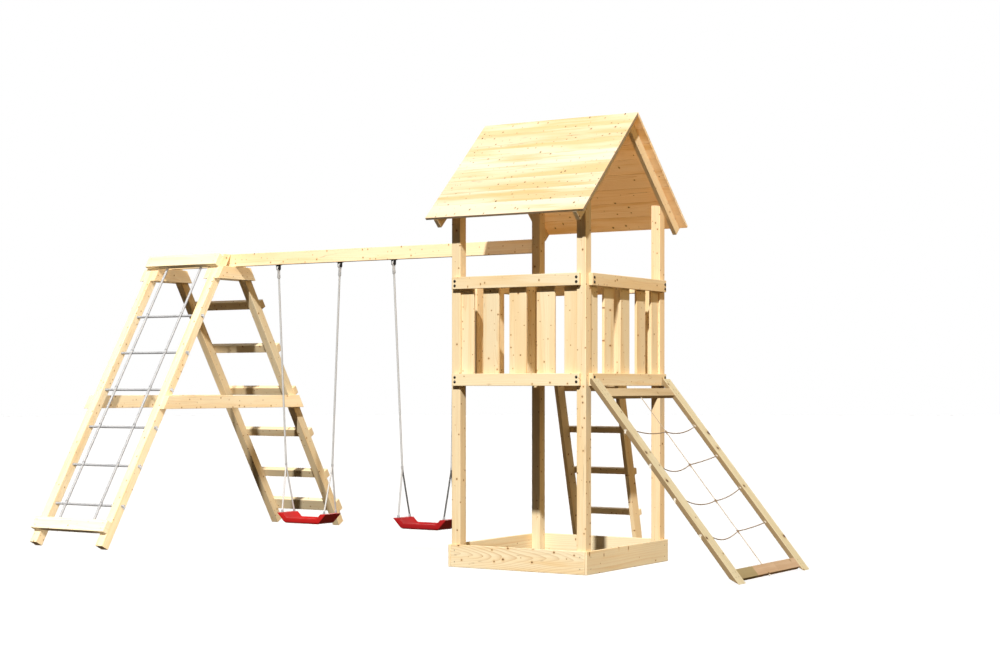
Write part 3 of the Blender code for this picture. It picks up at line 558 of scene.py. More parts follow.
# ------------------------------------------------------------------ fasteners
def lathe(bm, profile, at, axis, seg=20):
    """Turned solid: profile of (radius, height) up the axis, from the foot."""
    q = axis.to_track_quat('Z', 'Y').to_matrix()
    rows = []
    for r, h in profile:
        if r < 1e-6:
            rows.append([bm.verts.new(at + q @ Vector((0, 0, h)))])
        else:
            rows.append([bm.verts.new(at + q @ Vector((r * cos(2 * pi * i / seg), r * sin(2 * pi * i / seg), h)))
                         for i in range(seg)])
    for a, b in zip(rows, rows[1:]):
        for i in range(seg):
            j = (i + 1) % seg
            if len(a) == 1 and len(b) == 1:
                continue
            if len(a) == 1:
                bm.faces.new((a[0], b[i], b[j]))
            elif len(b) == 1:
                bm.faces.new((a[i], a[j], b[0]))
            else:
                bm.faces.new((a[i], a[j], b[j], b[i]))
    if len(rows[0]) > 1:
        bm.faces.new(list(reversed(rows[0])))


def bolts(name, spots, axis, r=0.0084, h=0.0054, mat=None, body="frame"):
    """Carriage bolts: a low dome over a thin washer."""
    bm = bmesh.new()
    mid = sum(spots, Vector()) / len(spots)
    for s in spots:
        dome = [(r * 1.16, -0.0012), (r * 1.16, 0.0009), (r * 1.10, 0.0013), (r, 0.0014), (r * 0.985, 0.0024)]
        dome += [(r * cos(t) * 0.97, 0.0024 + (h - 0.0024) * sin(t)) for t in (0.35, 0.65, 0.95, 1.25)] + [(0, h)]
        lathe(bm, dome, s - mid, axis)
    bmesh.ops.recalc_face_normals(bm, faces=bm.faces)
    me = bpy.data.meshes.new(name)
    bm.to_mesh(me)
    bm.free()
    me.shade_smooth()
    me.set_sharp_from_angle(angle=radians(38))
    return place(name, me, mat or ZINC, Matrix.Translation(mid), body, ())


def screws(name, spots, axis, r=0.0046, body="frame"):
    """Countersunk screw heads, drawn just below flush, with a star recess."""
    bm = bmesh.new()
    mid = sum(spots, Vector()) / len(spots)
    q = axis.to_track_quat('Z', 'Y').to_matrix()
    for s in spots:
        at = s - mid
        n = 24
        rows = []
        for rad, hgt, star in ((r * 1.0, -0.0012, 0), (r * 1.0, 0.00035, 0), (r * 0.90, 0.00055, 0),
                               (r * 0.52, 0.00055, 1), (r * 0.46, -0.0009, 1)):
            ring = []
            for i in range(n):
                t = 2 * pi * i / n
                k = 1 + (0.16 * cos(6 * t) if star else 0)
                ring.append(bm.verts.new(at + q @ Vector((rad * k * cos(t), rad * k * sin(t), hgt))))
            rows.append(ring)
        for a, b in zip(rows, rows[1:]):
            for i in range(n):
                bm.faces.new((a[i], a[(i + 1) % n], b[(i + 1) % n], b[i]))
        bm.faces.new(rows[-1])
        bm.faces.new(list(reversed(rows[0])))
    bmesh.ops.recalc_face_normals(bm, faces=bm.faces)
    me = bpy.data.meshes.new(name)
    bm.to_mesh(me)
    bm.free()
    me.shade_smooth()
    me.set_sharp_from_angle(angle=radians(35))
    return place(name, me, SCREW, Matrix.Translation(mid), body, ())


# ------------------------------------------------------------------ ropes


def even(path, step):
    """Points a step apart along a path."""
    pts = np.array([tuple(p) for p in path], float)
    seg = np.linalg.norm(np.diff(pts, axis=0), axis=1)
    s = np.concatenate([[0], np.cumsum(seg)])
    n = max(2, int(round(s[-1] / step)) + 1)
    t = np.linspace(0, s[-1], n)
    return np.stack([np.interp(t, s, pts[:, i]) for i in range(3)], axis=1), s[-1]


def curve(points, n=12):
    """Smooth curve through the points."""
    p = [Vector(q) for q in points]
    p = [p[0] * 2 - p[1]] + p + [p[-1] * 2 - p[-2]]
    out = []
    for i in range(1, len(p) - 2):
        a, b, c, d = p[i - 1:i + 3]
        for k in range(n):
            t = k / n
            out.append(0.5 * ((2 * b) + (c - a) * t + (2 * a - 5 * b + 4 * c - d) * t * t
                              + (3 * b - 3 * c + d - a) * t ** 3))
    out.append(p[-2])
    return out


def laid(path, r, pitch, closed=False, turns_per=20, phase=0.0, depth=0.26):
    """(vertices, faces, crown) of a laid rope of three strands along the path;
    depth is how far the grooves go in."""
    lobe = [1 - depth * v for v in (0.0, 0.54, 1.0, 0.54)]
    pts, total = even(path, pitch / turns_per)
    if closed:
        pts = pts[:-1]
    n, m = len(pts), 12
    if closed:
        tan_ = np.roll(pts, -1, axis=0) - np.roll(pts, 1, axis=0)
    else:
        tan_ = np.gradient(pts, axis=0)
    tan_ /= np.linalg.norm(tan_, axis=1)[:, None]
    nor = np.zeros_like(pts)
    ref = np.array((0.0, 0.0, 1.0)) if abs(tan_[0][2]) < 0.9 else np.array((1.0, 0.0, 0.0))
    v = ref - tan_[0] * ref.dot(tan_[0])
    nor[0] = v / np.linalg.norm(v)
    for i in range(1, n):                       # carry the section along without twist
        v = nor[i - 1] - tan_[i] * nor[i - 1].dot(tan_[i])
        nor[i] = v / np.linalg.norm(v)
    bi = np.cross(tan_, nor)
    lead = total / n
    whole = round(total / pitch) * 2 * pi / n if closed else 2 * pi * lead / pitch
    verts = np.zeros((n, m, 3))
    rad = np.array([lobe[j % 4] for j in range(m)]) * r
    base = np.arange(m) * 2 * pi / m
    for i in range(n):
        a = base + i * whole + phase
        verts[i] = pts[i] + np.outer(np.cos(a) * rad, nor[i]) + np.outer(np.sin(a) * rad, bi[i])
    crown = np.tile((np.array([lobe[j % 4] for j in range(m)]) - lobe[2]) / depth, n)
    idx = np.arange(n * m).reshape(n, m)
    nxt = np.roll(idx, -1, axis=1)
    rows = n if closed else n - 1
    faces = []
    for i in range(rows):
        k = (i + 1) % n
        faces.append(np.stack([idx[i], nxt[i], nxt[k], idx[k]], axis=1))
    faces = np.concatenate(faces).tolist()
    if not closed:
        faces.append(idx[0][::-1].tolist())
        faces.append(idx[-1].tolist())
    return verts.reshape(-1, 3), faces, crown


class Bundle:
    """Several closed surfaces joined in one piece."""

    def __init__(self):
        self.v, self.f, self.c, self.n = [], [], [], 0

    def add(self, v, f, c):
        v = np.asarray(v)
        self.f += [[i + self.n for i in q] for q in f]
        self.v.append(v)
        self.c.append(np.asarray(c, np.float32))
        self.n += len(v)

    def rope(self, path, r, pitch, **kw):
        self.add(*laid(path, r, pitch, **kw))

    def knot(self, at, axis, size, r, pitch, turn=0.0):
        """A pulled-tight knot: one closed strand wound as an overhand knot."""
        q = axis.to_track_quat('Z', 'Y').to_matrix() @ Matrix.Rotation(turn, 3, 'Z')
        s = (size - r) / 3.0
        path = []
        for i in range(97):
            t = 2 * pi * i / 96
            path.append(at + q @ Vector(((sin(t) + 2 * sin(2 * t)) * s, (cos(t) - 2 * cos(2 * t)) * s,
                                         -sin(3 * t) * s * 1.15)))
        self.add(*laid(path, r, pitch, closed=True))

    def wrap(self, a, b, r_in, r, turns):
        """Whipping: a cord wound round from a to b."""
        d = b - a
        q = d.to_track_quat('Z', 'Y').to_matrix()
        path = []
        n = int(turns * 18)
        for i in range(n + 1):
            t = i / n
            w = 2 * pi * turns * t
            path.append(a + d * t + q @ Vector((cos(w) * (r_in + r), sin(w) * (r_in + r), 0)))
        self.add(*laid(path, r, r * 8, turns_per=14))

    def tuft(self, at, axis, length, r, seed, n=9, spread=0.55):
        """Frayed end: a few loose strands."""
        rnd = random.Random(seed)
        q = axis.to_track_quat('Z', 'Y').to_matrix()
        for i in range(n):
            a = 2 * pi * (i + rnd.random() * 0.7) / n
            s = spread * (0.3 + 0.9 * rnd.random())
            ln = length * (0.7 + 0.4 * rnd.random())
            mid = at + q @ Vector((cos(a) * r * 0.6 + cos(a) * s * ln * 0.35, sin(a) * r * 0.6 + sin(a) * s * ln * 0.35, ln * 0.5))
            tip = at + q @ Vector((cos(a) * s * ln, sin(a) * s * ln, ln)) - Vector((0, 0, 0.12 * ln))
            path, _ = even(curve([at + q @ Vector((cos(a) * r * 0.5, sin(a) * r * 0.5, -0.002)), mid, tip], 4), ln / 6)
            rr = r * 0.26
            vs, fs = [], []
            k = len(path)
            for j, p in enumerate(path):
                w = rr * (1 - 0.75 * j / (k - 1))
                for m in range(5):
                    b = 2 * pi * m / 5
                    vs.append(Vector(p) + q @ Vector((cos(b) * w, sin(b) * w, 0)))
            for j in range(k - 1):
                for m in range(5):
                    fs.append([j * 5 + m, j * 5 + (m + 1) % 5, (j + 1) * 5 + (m + 1) % 5, (j + 1) * 5 + m])
            fs.append([4, 3, 2, 1, 0])
            fs.append([(k - 1) * 5 + m for m in range(5)])
            self.add(np.array([tuple(v) for v in vs]), fs, [0.8] * len(vs))

    def tube(self, path, r, m=10):
        """Plain round bar with closed ends."""
        pts = [Vector(p) for p in path]
        n = len(pts)
        vs, fs = [], []
        q0 = None
        for i, p in enumerate(pts):
            t = (pts[min(i + 1, n - 1)] - pts[max(i - 1, 0)]).normalized()
            q = t.to_track_quat('Z', 'Y').to_matrix() if q0 is None else (t.rotation_difference(t0).inverted().to_matrix() @ q0)
            q0, t0 = q, t
            for j in range(m):
                a = 2 * pi * j / m
                vs.append(p + q @ Vector((cos(a) * r, sin(a) * r, 0)))
        for i in range(n - 1):
            for j in range(m):
                fs.append([i * m + j, i * m + (j + 1) % m, (i + 1) * m + (j + 1) % m, (i + 1) * m + j])
        fs.append([j for j in range(m)][::-1])
        fs.append([(n - 1) * m + j for j in range(m)])
        self.add(np.array([tuple(v) for v in vs]), fs, [0.5] * len(vs))

    def piece(self, name, mat, body, nodes, slot):
        v = np.concatenate(self.v)
        mid = (v.min(axis=0) + v.max(axis=0)) / 2
        me = bpy.data.meshes.new(name)
        me.from_pydata((v - mid).tolist(), [], self.f)
        bm = bmesh.new()
        bm.from_mesh(me)
        bmesh.ops.recalc_face_normals(bm, faces=bm.faces)
        bm.to_mesh(me)
        bm.free()
        a = me.attributes.new("crown", 'FLOAT', 'POINT')
        a.data.foreach_set("value", np.concatenate(self.c))
        me.shade_smooth()
        me.set_sharp_from_angle(angle=radians(60))
        return place(name, me, mat, Matrix.Translation(Vector(mid)), body, nodes)


# ------------------------------------------------------------------ tower posts
for name, x, y in (("post_front_left", 0, 0), ("post_front_right", W - POST, 0),
                   ("post_rear_right", W - POST, W - POST), ("post_rear_left", 0, W - POST)):
    beam_box(name + "_timber", (x, x + POST), (y, y + POST), (0, POST_TOP), EZ, -EY, node=name, edge=0.0028,
             mat=SPRUCE_POST_WARM if name == "post_rear_right" else SPRUCE_POST)


# ------------------------------------------------------------------ fences
def on_side(side, a, d, z):
    """Point on one side of the tower: a along it, d inwards from the posts'
    outer face."""
    return {'front': P(a, d, z), 'rear': P(a, W - d, z), 'left': P(d, a, z), 'right': P(W - d, a, z)}[side]


ALONG = {'front': EX, 'rear': EX, 'left': EY, 'right': EY}
OUT = {'front': -EY, 'rear': EY, 'left': -EX, 'right': EX}


def side_board(name, side, a, d, z, grain, **kw):
    c = on_side(side, sum(a) / 2, sum(d) / 2, sum(z) / 2)
    la, lz, ld = a[1] - a[0], z[1] - z[0], d[1] - d[0]
    if grain == 'up':
        return slab(name, c, (lz, la, ld), (EZ, OUT[side].cross(EZ), OUT[side]), **kw)
    return slab(name, c, (la, lz, ld), (ALONG[side], OUT[side].cross(ALONG[side]), OUT[side]), **kw)


for side, planks in (('front', FRONT_PLANKS), ('right', SIDE_PLANKS), ('left', SIDE_PLANKS)):
    node = side + "_fence"
    ends, spot_a = (RAIL_FRONT, (0.0434, 0.9826)) if side == 'front' else (RAIL_SIDE, (0.061, 0.990))
    side_board(node + "_top_rail", side, ends, (-RAIL_T, 0), (TOP_RAIL_Z, TOP_RAIL_Z + RAIL_H), 'along',
               node=node, edge=0.0024)
    side_board(node + "_low_rail", side, ends, (-RAIL_T, 0), (LOW_RAIL_Z, LOW_RAIL_Z + RAIL_H), 'along',
               node=node, edge=0.0024)
    for i, z in enumerate((TOP_RAIL_Z + 0.004, LOW_RAIL_Z + 0.014)):
        side_board(node + "_packer_%d" % (i + 1), side, (POST + 0.002, W - POST - 0.002),
                   (GAP, PLANK_INSET), (z, z + 0.060), 'along', node=node, edge=0.001)
    for i, (a, b) in enumerate(planks):
        side_board(node + "_plank_%d" % (i + 1), side, (a, b), (PLANK_INSET, PLANK_INSET + PLANK_T),
                   (PLANK_Z0, PLANK_Z1), 'up', node=node, edge=0.0022)
    spots = [on_side(side, a, -RAIL_T, z) for a in spot_a
             for z in (TOP_RAIL_Z + 0.022, TOP_RAIL_Z + 0.052, LOW_RAIL_Z + 0.026, LOW_RAIL_Z + 0.056)]
    bolts(node + "_bolts", spots, OUT[side])
    # plank screws, seen from the platform
    inner = [on_side(side, a + (b - a) * u, PLANK_INSET + PLANK_T, z) for a, b in planks for u in (0.25, 0.75)
             for z in (TOP_RAIL_Z + 0.034, LOW_RAIL_Z + 0.044)]
    screws(node + "_screws", inner, -OUT[side])
for name, z in (("rear_top_rail", TOP_RAIL_Z), ("rear_low_rail", LOW_RAIL_Z)):
    side_board(name + "_board", 'rear', RAIL_FRONT, (-RAIL_T, 0), (z, z + RAIL_H), 'along', node=name, edge=0.0024)
    bolts(name + "_bolts", [on_side('rear', a, -RAIL_T, z + h) for a in (0.0434, 0.9826) for h in (0.024, 0.054)],
          EY)

# at the rear two planks stand beside the ladder's opening
for i, z in enumerate((TOP_RAIL_Z + 0.004, LOW_RAIL_Z + 0.014)):
    side_board("rear_packer_%d" % (i + 1), 'rear', (REAR_PLANKS[0][0], W - POST - 0.002), (GAP, PLANK_INSET), (z, z + 0.060),
               'along', node="rear_planks", edge=0.001)
for i, (a, b) in enumerate(REAR_PLANKS):
    side_board("rear_plank_%d" % (i + 1), 'rear', (a, b), (PLANK_INSET, PLANK_INSET + PLANK_T), (PLANK_Z0, PLANK_Z1), 'up',
               node="rear_planks", edge=0.0022)
screws("rear_plank_screws", [on_side('rear', a + (b - a) * u, PLANK_INSET + PLANK_T, z) for a, b in REAR_PLANKS
                             for u in (0.25, 0.75) for z in (TOP_RAIL_Z + 0.034, LOW_RAIL_Z + 0.044)], -EY)

# ------------------------------------------------------------------ sandbox
for name, x, y, n in (("sandbox_front", (0.0014, W - 0.0014), (-BOX_T, 0), -EY),
                      ("sandbox_rear", (0.0014, W - 0.0014), (W, W + BOX_T), EY),
                      ("sandbox_left", (-BOX_T, 0), (-BOX_T, W + BOX_T), -EX),
                      ("sandbox_right", (W, W + BOX_T), (-BOX_T, W + BOX_T), EX)):
    along = EX if abs(n.y) > 0.5 else EY
    beam_box(name + "_board", x, y, (0, BOX_H), along, n, node=name, edge=0.0030,
             mat=SPRUCE_FLAME if name == "sandbox_front" else SPRUCE_BOX)
    c = P(sum(x) / 2, sum(y) / 2, 0) + n * (BOX_T / 2)
    half = (W / 2) - 0.034
    screws(name + "_screws", [c + along * (k * half) + EZ * h for k in (-1, 1) for h in (0.036, 0.112)], n, r=0.0036)

# ------------------------------------------------------------------ deck
inner0, inner1 = PLANK_INSET + PLANK_T + 0.001, W - PLANK_INSET - PLANK_T - 0.001
for i, x in enumerate((0.098, 0.503, 0.908)):
    beam_box("deck_joist_%d" % (i + 1), (x, x + 0.030), (inner0, inner1),
             (DECK_TOP - DECK_T - JOIST_H, DECK_TOP - DECK_T), EY, EZ, node="deck", edge=0.0015)
pitch = (inner1 - inner0 + DECK_GAP) / DECK_BOARDS
deck_screws = []
for i in range(DECK_BOARDS):
    y0 = inner0 + i * pitch
    y1 = y0 + pitch - DECK_GAP
    notch = y0 < POST + 0.002 or y1 > W - POST - 0.002
    x0, x1 = (POST + 0.002, W - POST - 0.002) if notch else (inner0, inner1)
    beam_box("deck_board_%d" % (i + 1), (x0, x1), (y0, y1), (DECK_TOP - DECK_T, DECK_TOP), EX, EZ, node="deck",
             edge=0.0022)
    deck_screws += [P(x + 0.015, y0 + (y1 - y0) * u, DECK_TOP) for x in (0.098, 0.503, 0.908) for u in (0.25, 0.75)]
screws("deck_screws", deck_screws, EZ)

# ------------------------------------------------------------------ roof
EAVE_Z, EAVE_Y = RIDGE_Z - EAVE_RUN, RIDGE_Y - EAVE_RUN
SLOPE_L = EAVE_RUN * sqrt(2)
ROOF_BOARDS = 8
for name, k in (("roof_front", 1), ("roof_rear", -1)):
    up = Vector((0, k, 1)).normalized()
    out = Vector((0, -k, 1)).normalized()
    foot = P((ROOF_X0 + ROOF_X1) / 2, RIDGE_Y - k * EAVE_RUN, EAVE_Z)
    spots = []
    for i in range(ROOF_BOARDS):
        s0, s1 = SLOPE_L * i / ROOF_BOARDS, SLOPE_L * (i + 1) / ROOF_BOARDS
        top = i == ROOF_BOARDS - 1
        a, b = s0 + 0.0004, s1 - 0.0004
        pts = [foot + up * a, foot + up * b, foot + up * (b - (ROOF_T if top else 0)) - out * ROOF_T,
               foot + up * a - out * ROOF_T]
        lumber("%s_board_%d" % (name, i + 1), pts, EX, ROOF_X1 - ROOF_X0, EX, out, mat=SPRUCE_ROOF_PAINTED_END_SHADE if k > 0 else SPRUCE_UNDER, node=name,
               edge=0.0016)
        for x in (ROOF_X0 + 0.075, ROOF_X1 - 0.0705):
            for u in (0.28, 0.72):
                spots.append(Vector((x - CX, foot.y, foot.z)) + up * (s0 + (s1 - s0) * u))
    screws(name + "_screws", spots, out, r=0.0030)
t = ROOF_T / sqrt(2)
g = GAP * sqrt(2)
d = RAFTER_D / sqrt(2)
for side, x0, x1 in (("left", -RAFTER_T, 0), ("right", W, W + RAFTER_T)):
    for row, k in (("front", 1), ("rear", -1)):
        xm = (x0 + x1) / 2
        ys = [(EAVE_Y + t, EAVE_Z - t - g), (RIDGE_Y - 0.0002, RIDGE_Z - 2 * t - g),
              (RIDGE_Y - 0.0002, RIDGE_Z - 2 * t - 2 * d - g), (EAVE_Y + t + d, EAVE_Z - t - d - g)]
        pts = [P(xm, RIDGE_Y + k * (y - RIDGE_Y), z) for y, z in ys]
        lumber("rafter_%s_%s" % (side, row), pts, EX, RAFTER_T, Vector((0, k, 1)), EX, node="rafters_" + side,
               edge=0.0022)

# ------------------------------------------------------------------ ladder
lad_y = W + RAIL_T + GAP
lt = tan(LAD_A)


def lad_in(z):
    return lad_y + (LOW_RAIL_Z - z) * lt


lad_w = LAD_D / cos(LAD_A)
ln = Vector((0, cos(LAD_A), sin(LAD_A)))
la = Vector((0, -sin(LAD_A), cos(LAD_A)))
for name, (x0, x1) in zip(("ladder_stile_left", "ladder_stile_right"), LAD_X):
    ys = [(lad_in(0), 0.0001), (lad_in(0) + lad_w, 0.0001), (lad_in(LAD_TOP) + lad_w, LAD_TOP),
          (lad_y, LAD_TOP), (lad_y, LOW_RAIL_Z)]
    lumber(name + "_timber", [P((x0 + x1) / 2, y, z) for y, z in ys], EX, x1 - x0, la, EX, node=name, edge=0.0022)
for i, z in enumerate(LAD_RUNG_Z):
    zc = z + LAD_RUNG_H / 2
    face = P((LAD_X[0][0] + LAD_X[1][1]) / 2, lad_in(zc) + lad_w, zc)
    c = face + ln * (LAD_RUNG_T / 2 + GAP / 2)
    slab("ladder_rung_%d_timber" % (i + 1), c, (LAD_X[1][1] - LAD_X[0][0], LAD_RUNG_H, LAD_RUNG_T), (EX, la, ln),
         node="ladder_rung_%d" % (i + 1), edge=0.0024)
    screws("ladder_rung_%d_screws" % (i + 1),
           [face + ln * (LAD_RUNG_T + GAP / 2) + EX * (k * 0.2475) + la * h for k in (-1, 1) for h in (-0.010, 0.010)], ln)

# ------------------------------------------------------------------ rope ramp
ra = Vector((1, 0, -RAMP_SLOPE)).normalized()
rn = Vector((RAMP_SLOPE, 0, 1)).normalized()
drop = RAMP_T / rn.z
x_tip = RAMP_TOP.x + (RAMP_TOP.z - 0.0002) / RAMP_SLOPE
x_heel = (RAMP_TOP.z - drop + RAMP_SLOPE * RAMP_TOP.x - x_tip * tan(RAMP_FOOT)) / (RAMP_SLOPE - tan(RAMP_FOOT))
outline = [(RAMP_TOP.x, RAMP_CUT), (RAMP_TOP.x + (RAMP_TOP.z - RAMP_CUT) / RAMP_SLOPE, RAMP_CUT), (x_tip, 0.0002), (x_heel, (x_tip - x_heel) * tan(RAMP_FOOT)),
           (RAMP_TOP.x, RAMP_TOP.z - drop)]


def on_ramp(s, y, off=-RAMP_T / 2):
    q = RAMP_TOP + ra * s + rn * off
    return P(q.x, y, q.z)


for name, y0, y1 in (("ramp_stile_front", 0, RAMP_W), ("ramp_stile_rear", W - RAMP_W, W)):
    k = 0 if y0 == 0 else 2
    lumber(name + "_timber", [P(x, (y0 + y1) / 2, z) for x, z in outline], EY, y1 - y0, ra, rn, mat=TREATED, node=name,
           edge=0.0022, slot="treated_wood", narrow=True,
           holes=[(on_ramp(c[k], y0 - 0.01), on_ramp(c[k], y1 + 0.01), ROPE_R + 0.0014) for c in CROSS])
    screws(name + "_screws", [on_ramp(s, y0 + u, 0) for s in (0.040, 0.115, 0.146, 1.545, 1.580) for u in (0.030, 0.065)],
           rn, r=0.0032)
c = on_ramp(sum(RAMP_BOARD_TOP) / 2, W / 2)
slab("ramp_board_top_timber", c, (W - 2 * RAMP_W, RAMP_BOARD_TOP[1] - RAMP_BOARD_TOP[0], RAMP_T), (EY, ra, -rn),
     mat=TREATED_TAN, node="ramp_board_top", slot="treated_wood", edge=0.0022)
# the bottom board is finger-jointed from three lengths
y = RAMP_W
for i, (w, m) in enumerate(((0.222, TREATED_GREEN), (0.300, TREATED_BROWN), (W - 2 * RAMP_W - 0.522, TREATED_BROWN))):
    c = on_ramp(sum(RAMP_BOARD_LOW) / 2, y + w / 2)
    slab("ramp_board_bottom_length_%d" % (i + 1), c, (w, RAMP_BOARD_LOW[1] - RAMP_BOARD_LOW[0], RAMP_T), (EY, ra, -rn),
         mat=m, node="ramp_board_bottom", slot="treated_wood", edge=0.0008)
    y += w


def sagging(a, b, sag, n=14):
    return [a.lerp(b, i / n) - Vector((0, 0, 4 * sag * (i / n) * (1 - i / n))) for i in range(n + 1)]


KNOT = 0.0095
rope = Bundle()
rope.rope([on_ramp(RAMP_BOARD_TOP[0] - 0.004, ROPE_Y)] + [on_ramp(c[1], ROPE_Y) for c in CROSS]
          + [on_ramp(RAMP_BOARD_LOW[1] + 0.003, ROPE_Y)], ROPE_R * 0.80, 0.020)
rope.piece("ramp_net_middle_rope", ROPE_THIN, "frame", "ramp_net", "hemp_rope")
for i, (sa, sm, sb, d1, d2) in enumerate(CROSS):
    rope = Bundle()
    run = [on_ramp(sa, -0.004)] + sagging(on_ramp(sa, RAMP_W), on_ramp(sm, ROPE_Y), d1)
    run += sagging(on_ramp(sm, ROPE_Y), on_ramp(sb, W - RAMP_W), d2)[1:] + [on_ramp(sb, W + 0.004)]
    rope.rope(run, ROPE_R, 0.024)
    rope.knot(on_ramp(sm, ROPE_Y), rn, 0.0125, 0.0031, 0.020, turn=0.4 + i)
    rope.tuft(on_ramp(sm, ROPE_Y) + ra * 0.006, (ra * 0.9 - EZ * 0.3 + EY * 0.15 * (-1) ** i), 0.016, 0.0030, "mid%d" % i, n=7)
    rope.piece("ramp_net_cross_rope_%d" % (i + 1), ROPE_HEMP, "frame", "ramp_net", "hemp_rope")
    ends = Bundle()
    for s, yk, dy in ((sa, -KNOT * 0.8 - 0.001, -1), (sb, W + KNOT * 0.8 + 0.001, 1)):
        ends.knot(on_ramp(s, yk), EY * dy, 0.0105, 0.0034, 0.020, turn=i * 0.7)
        ends.tuft(on_ramp(s, yk + dy * 0.002) - EZ * 0.003, Vector((0.25, dy * 0.55, -0.8)).normalized(), 0.022, 0.0036,
                  "end%d%d" % (i, dy), n=9, spread=0.4)
    # the back end is whipped on the inner side too, and frays there
    at = on_ramp(sb, W - RAMP_W - 0.0065)
    ends.wrap(at + EY * 0.0045, at - EY * 0.0045, ROPE_R * 0.9, 0.0011, 4)
    ends.tuft(at - EY * 0.004, (-EY * 0.5 + EZ * 0.7 - ra * 0.2).normalized(), 0.018, 0.0034, "in%d" % i, n=8, spread=0.5)
    ends.piece("ramp_net_knots_%d" % (i + 1), ROPE_END, "frame", "ramp_net", "hemp_rope")
ends = Bundle()
ends.knot(on_ramp(RAMP_BOARD_TOP[0] - 0.0085, ROPE_Y), -ra, 0.0100, 0.0030, 0.018)
ends.knot(on_ramp(RAMP_BOARD_LOW[1] + 0.0068, ROPE_Y), ra, 0.0078, 0.0024, 0.018)
ends.tuft(on_ramp(RAMP_BOARD_TOP[1] + 0.006, ROPE_Y), (ra * 0.7 - EZ * 0.4).normalized(), 0.014, 0.0030, "top", n=7)
ends.piece("ramp_net_end_knots", ROPE_END, "frame", "ramp_net", "hemp_rope")

# ------------------------------------------------------------------ beam and frame
beam_box("swing_beam_timber", (BEAM_X0, 0), (YB - BEAM_T / 2, YB + BEAM_T / 2), (BEAM_Z0, BEAM_Z0 + BEAM_H), EX, -EY,
         node="swing_beam", edge=0.0028)
leg_w = LEG / cos(LEAN)


def leg_in(z):
    return LEG_HALF - z * tan(LEAN)


leg_outline = ((leg_in(0), 0), (leg_in(0) + LEG * cos(LEAN), LEG * sin(LEAN)),
               (leg_in(LEG_TOP) + leg_w, LEG_TOP), (leg_in(LEG_TOP), LEG_TOP))
fn = Vector((0, -cos(LEAN), sin(LEAN)))
fa = Vector((0, sin(LEAN), cos(LEAN)))
bn = Vector((0, cos(LEAN), sin(LEAN)))
ba = Vector((0, -sin(LEAN), cos(LEAN)))
foot = (leg_in(0) + LEG * cos(LEAN), LEG * sin(LEAN))


def on_front(x, s, off=0.0):
    return P(x, YB - foot[0], foot[1]) + fa * s + fn * off


def on_back(x, s, off=0.0):
    return P(x, YB + foot[0], foot[1]) + ba * s + bn * off


DEPTH = -LEG / 2
for row, k in (("front", -1), ("rear", 1)):
    for side, (x0, x1) in (("near", NEAR_X), ("far", FAR_X)):
        name = "leg_%s_%s" % (row, side)
        holes = [(on_front(x0 - 0.01, s, DEPTH), on_front(x1 + 0.01, s, DEPTH), NET_R + 0.0018) for s in NET_S] \
            if row == "front" else ()
        lumber(name + "_timber", [P((x0 + x1) / 2, YB + k * y, z) for y, z in leg_outline], EX, x1 - x0,
               fa if row == "front" else ba, fn if row == "front" else bn, node=name, edge=0.0028, holes=holes,
               mat=SPRUCE_POST)


def crosspiece(name, x, z0, z1):
    a, b = leg_in(z0) + leg_w, leg_in(z1) + leg_w
    xm = sum(x) / 2
    pts = [P(xm, YB - a, z0), P(xm, YB + a, z0), P(xm, YB + b, z1), P(xm, YB - b, z1)]
    lumber(name + "_timber", pts, EX, x[1] - x[0], EY, EX, node=name, edge=0.0026)


for i, x in enumerate(((NEAR_X[1], NEAR_X[1] + TIE_T), (NEAR_X[0] - TIE_T, NEAR_X[0]),
                       (FAR_X[1], FAR_X[1] + TIE_T), (FAR_X[0] - TIE_T, FAR_X[0]))):
    crosspiece("frame_tie_%d" % (i + 1), x, TIE_Z0, BEAM_Z0 - GAP)
crosspiece("crossbar_near", (NEAR_X[1], NEAR_X[1] + TIE_T), *BAR_Z)
crosspiece("crossbar_far", (FAR_X[0] - TIE_T, FAR_X[0]), *BAR_Z)


MID_X = (FAR_X[0] + NEAR_X[1]) / 2
LEN_X = NEAR_X[1] - FAR_X[0]
for name, (s0, s1) in (("frame_board_top", BOARD_TOP_S), ("frame_board_bottom", BOARD_LOW_S)):
    mid = (s0 + s1) / 2
    slab(name + "_timber", on_front(MID_X, mid, BOARD_T / 2 + GAP / 2), (LEN_X, s1 - s0, BOARD_T), (EX, fa, EX.cross(fa)),
         node=name, edge=0.0028, mat=SPRUCE_PALE,
         holes=[(on_front(x, mid, -0.01), on_front(x, mid, 0.031), NET_R + 0.0016) for x in NET_X])
    screws(name + "_screws", [on_front(x, s0 + (s1 - s0) * u, BOARD_T + GAP / 2) for x in (sum(NEAR_X) / 2, sum(FAR_X) / 2)
                              for u in (0.27, 0.73)], fn, r=0.0038)
for i, s in enumerate(RUNG_S):
    name = "frame_rung_%d" % (i + 1)
    slab(name + "_timber", on_back(MID_X, s, BOARD_T / 2 + GAP / 2), (LEN_X, RUNG_W, BOARD_T), (EX, ba, EX.cross(ba)), node=name,
         edge=0.0028)
    screws(name + "_screws", [on_back(x, s + u, BOARD_T + GAP / 2) for x in (sum(NEAR_X) / 2, sum(FAR_X) / 2)
                              for u in (-0.016, 0.016)], bn, r=0.0044)
slab("frame_step_timber", on_back(MID_X, sum(STEP_S) / 2, BOARD_T / 2 + GAP / 2), (LEN_X, STEP_S[1] - STEP_S[0], BOARD_T),
     (EX, ba, EX.cross(ba)), node="frame_step", edge=0.0028)
screws("frame_step_screws", [on_back(x, sum(STEP_S) / 2 + u, BOARD_T + GAP / 2) for x in (sum(NEAR_X) / 2, sum(FAR_X) / 2)
                             for u in (-0.024, 0.024)], bn, r=0.0044)

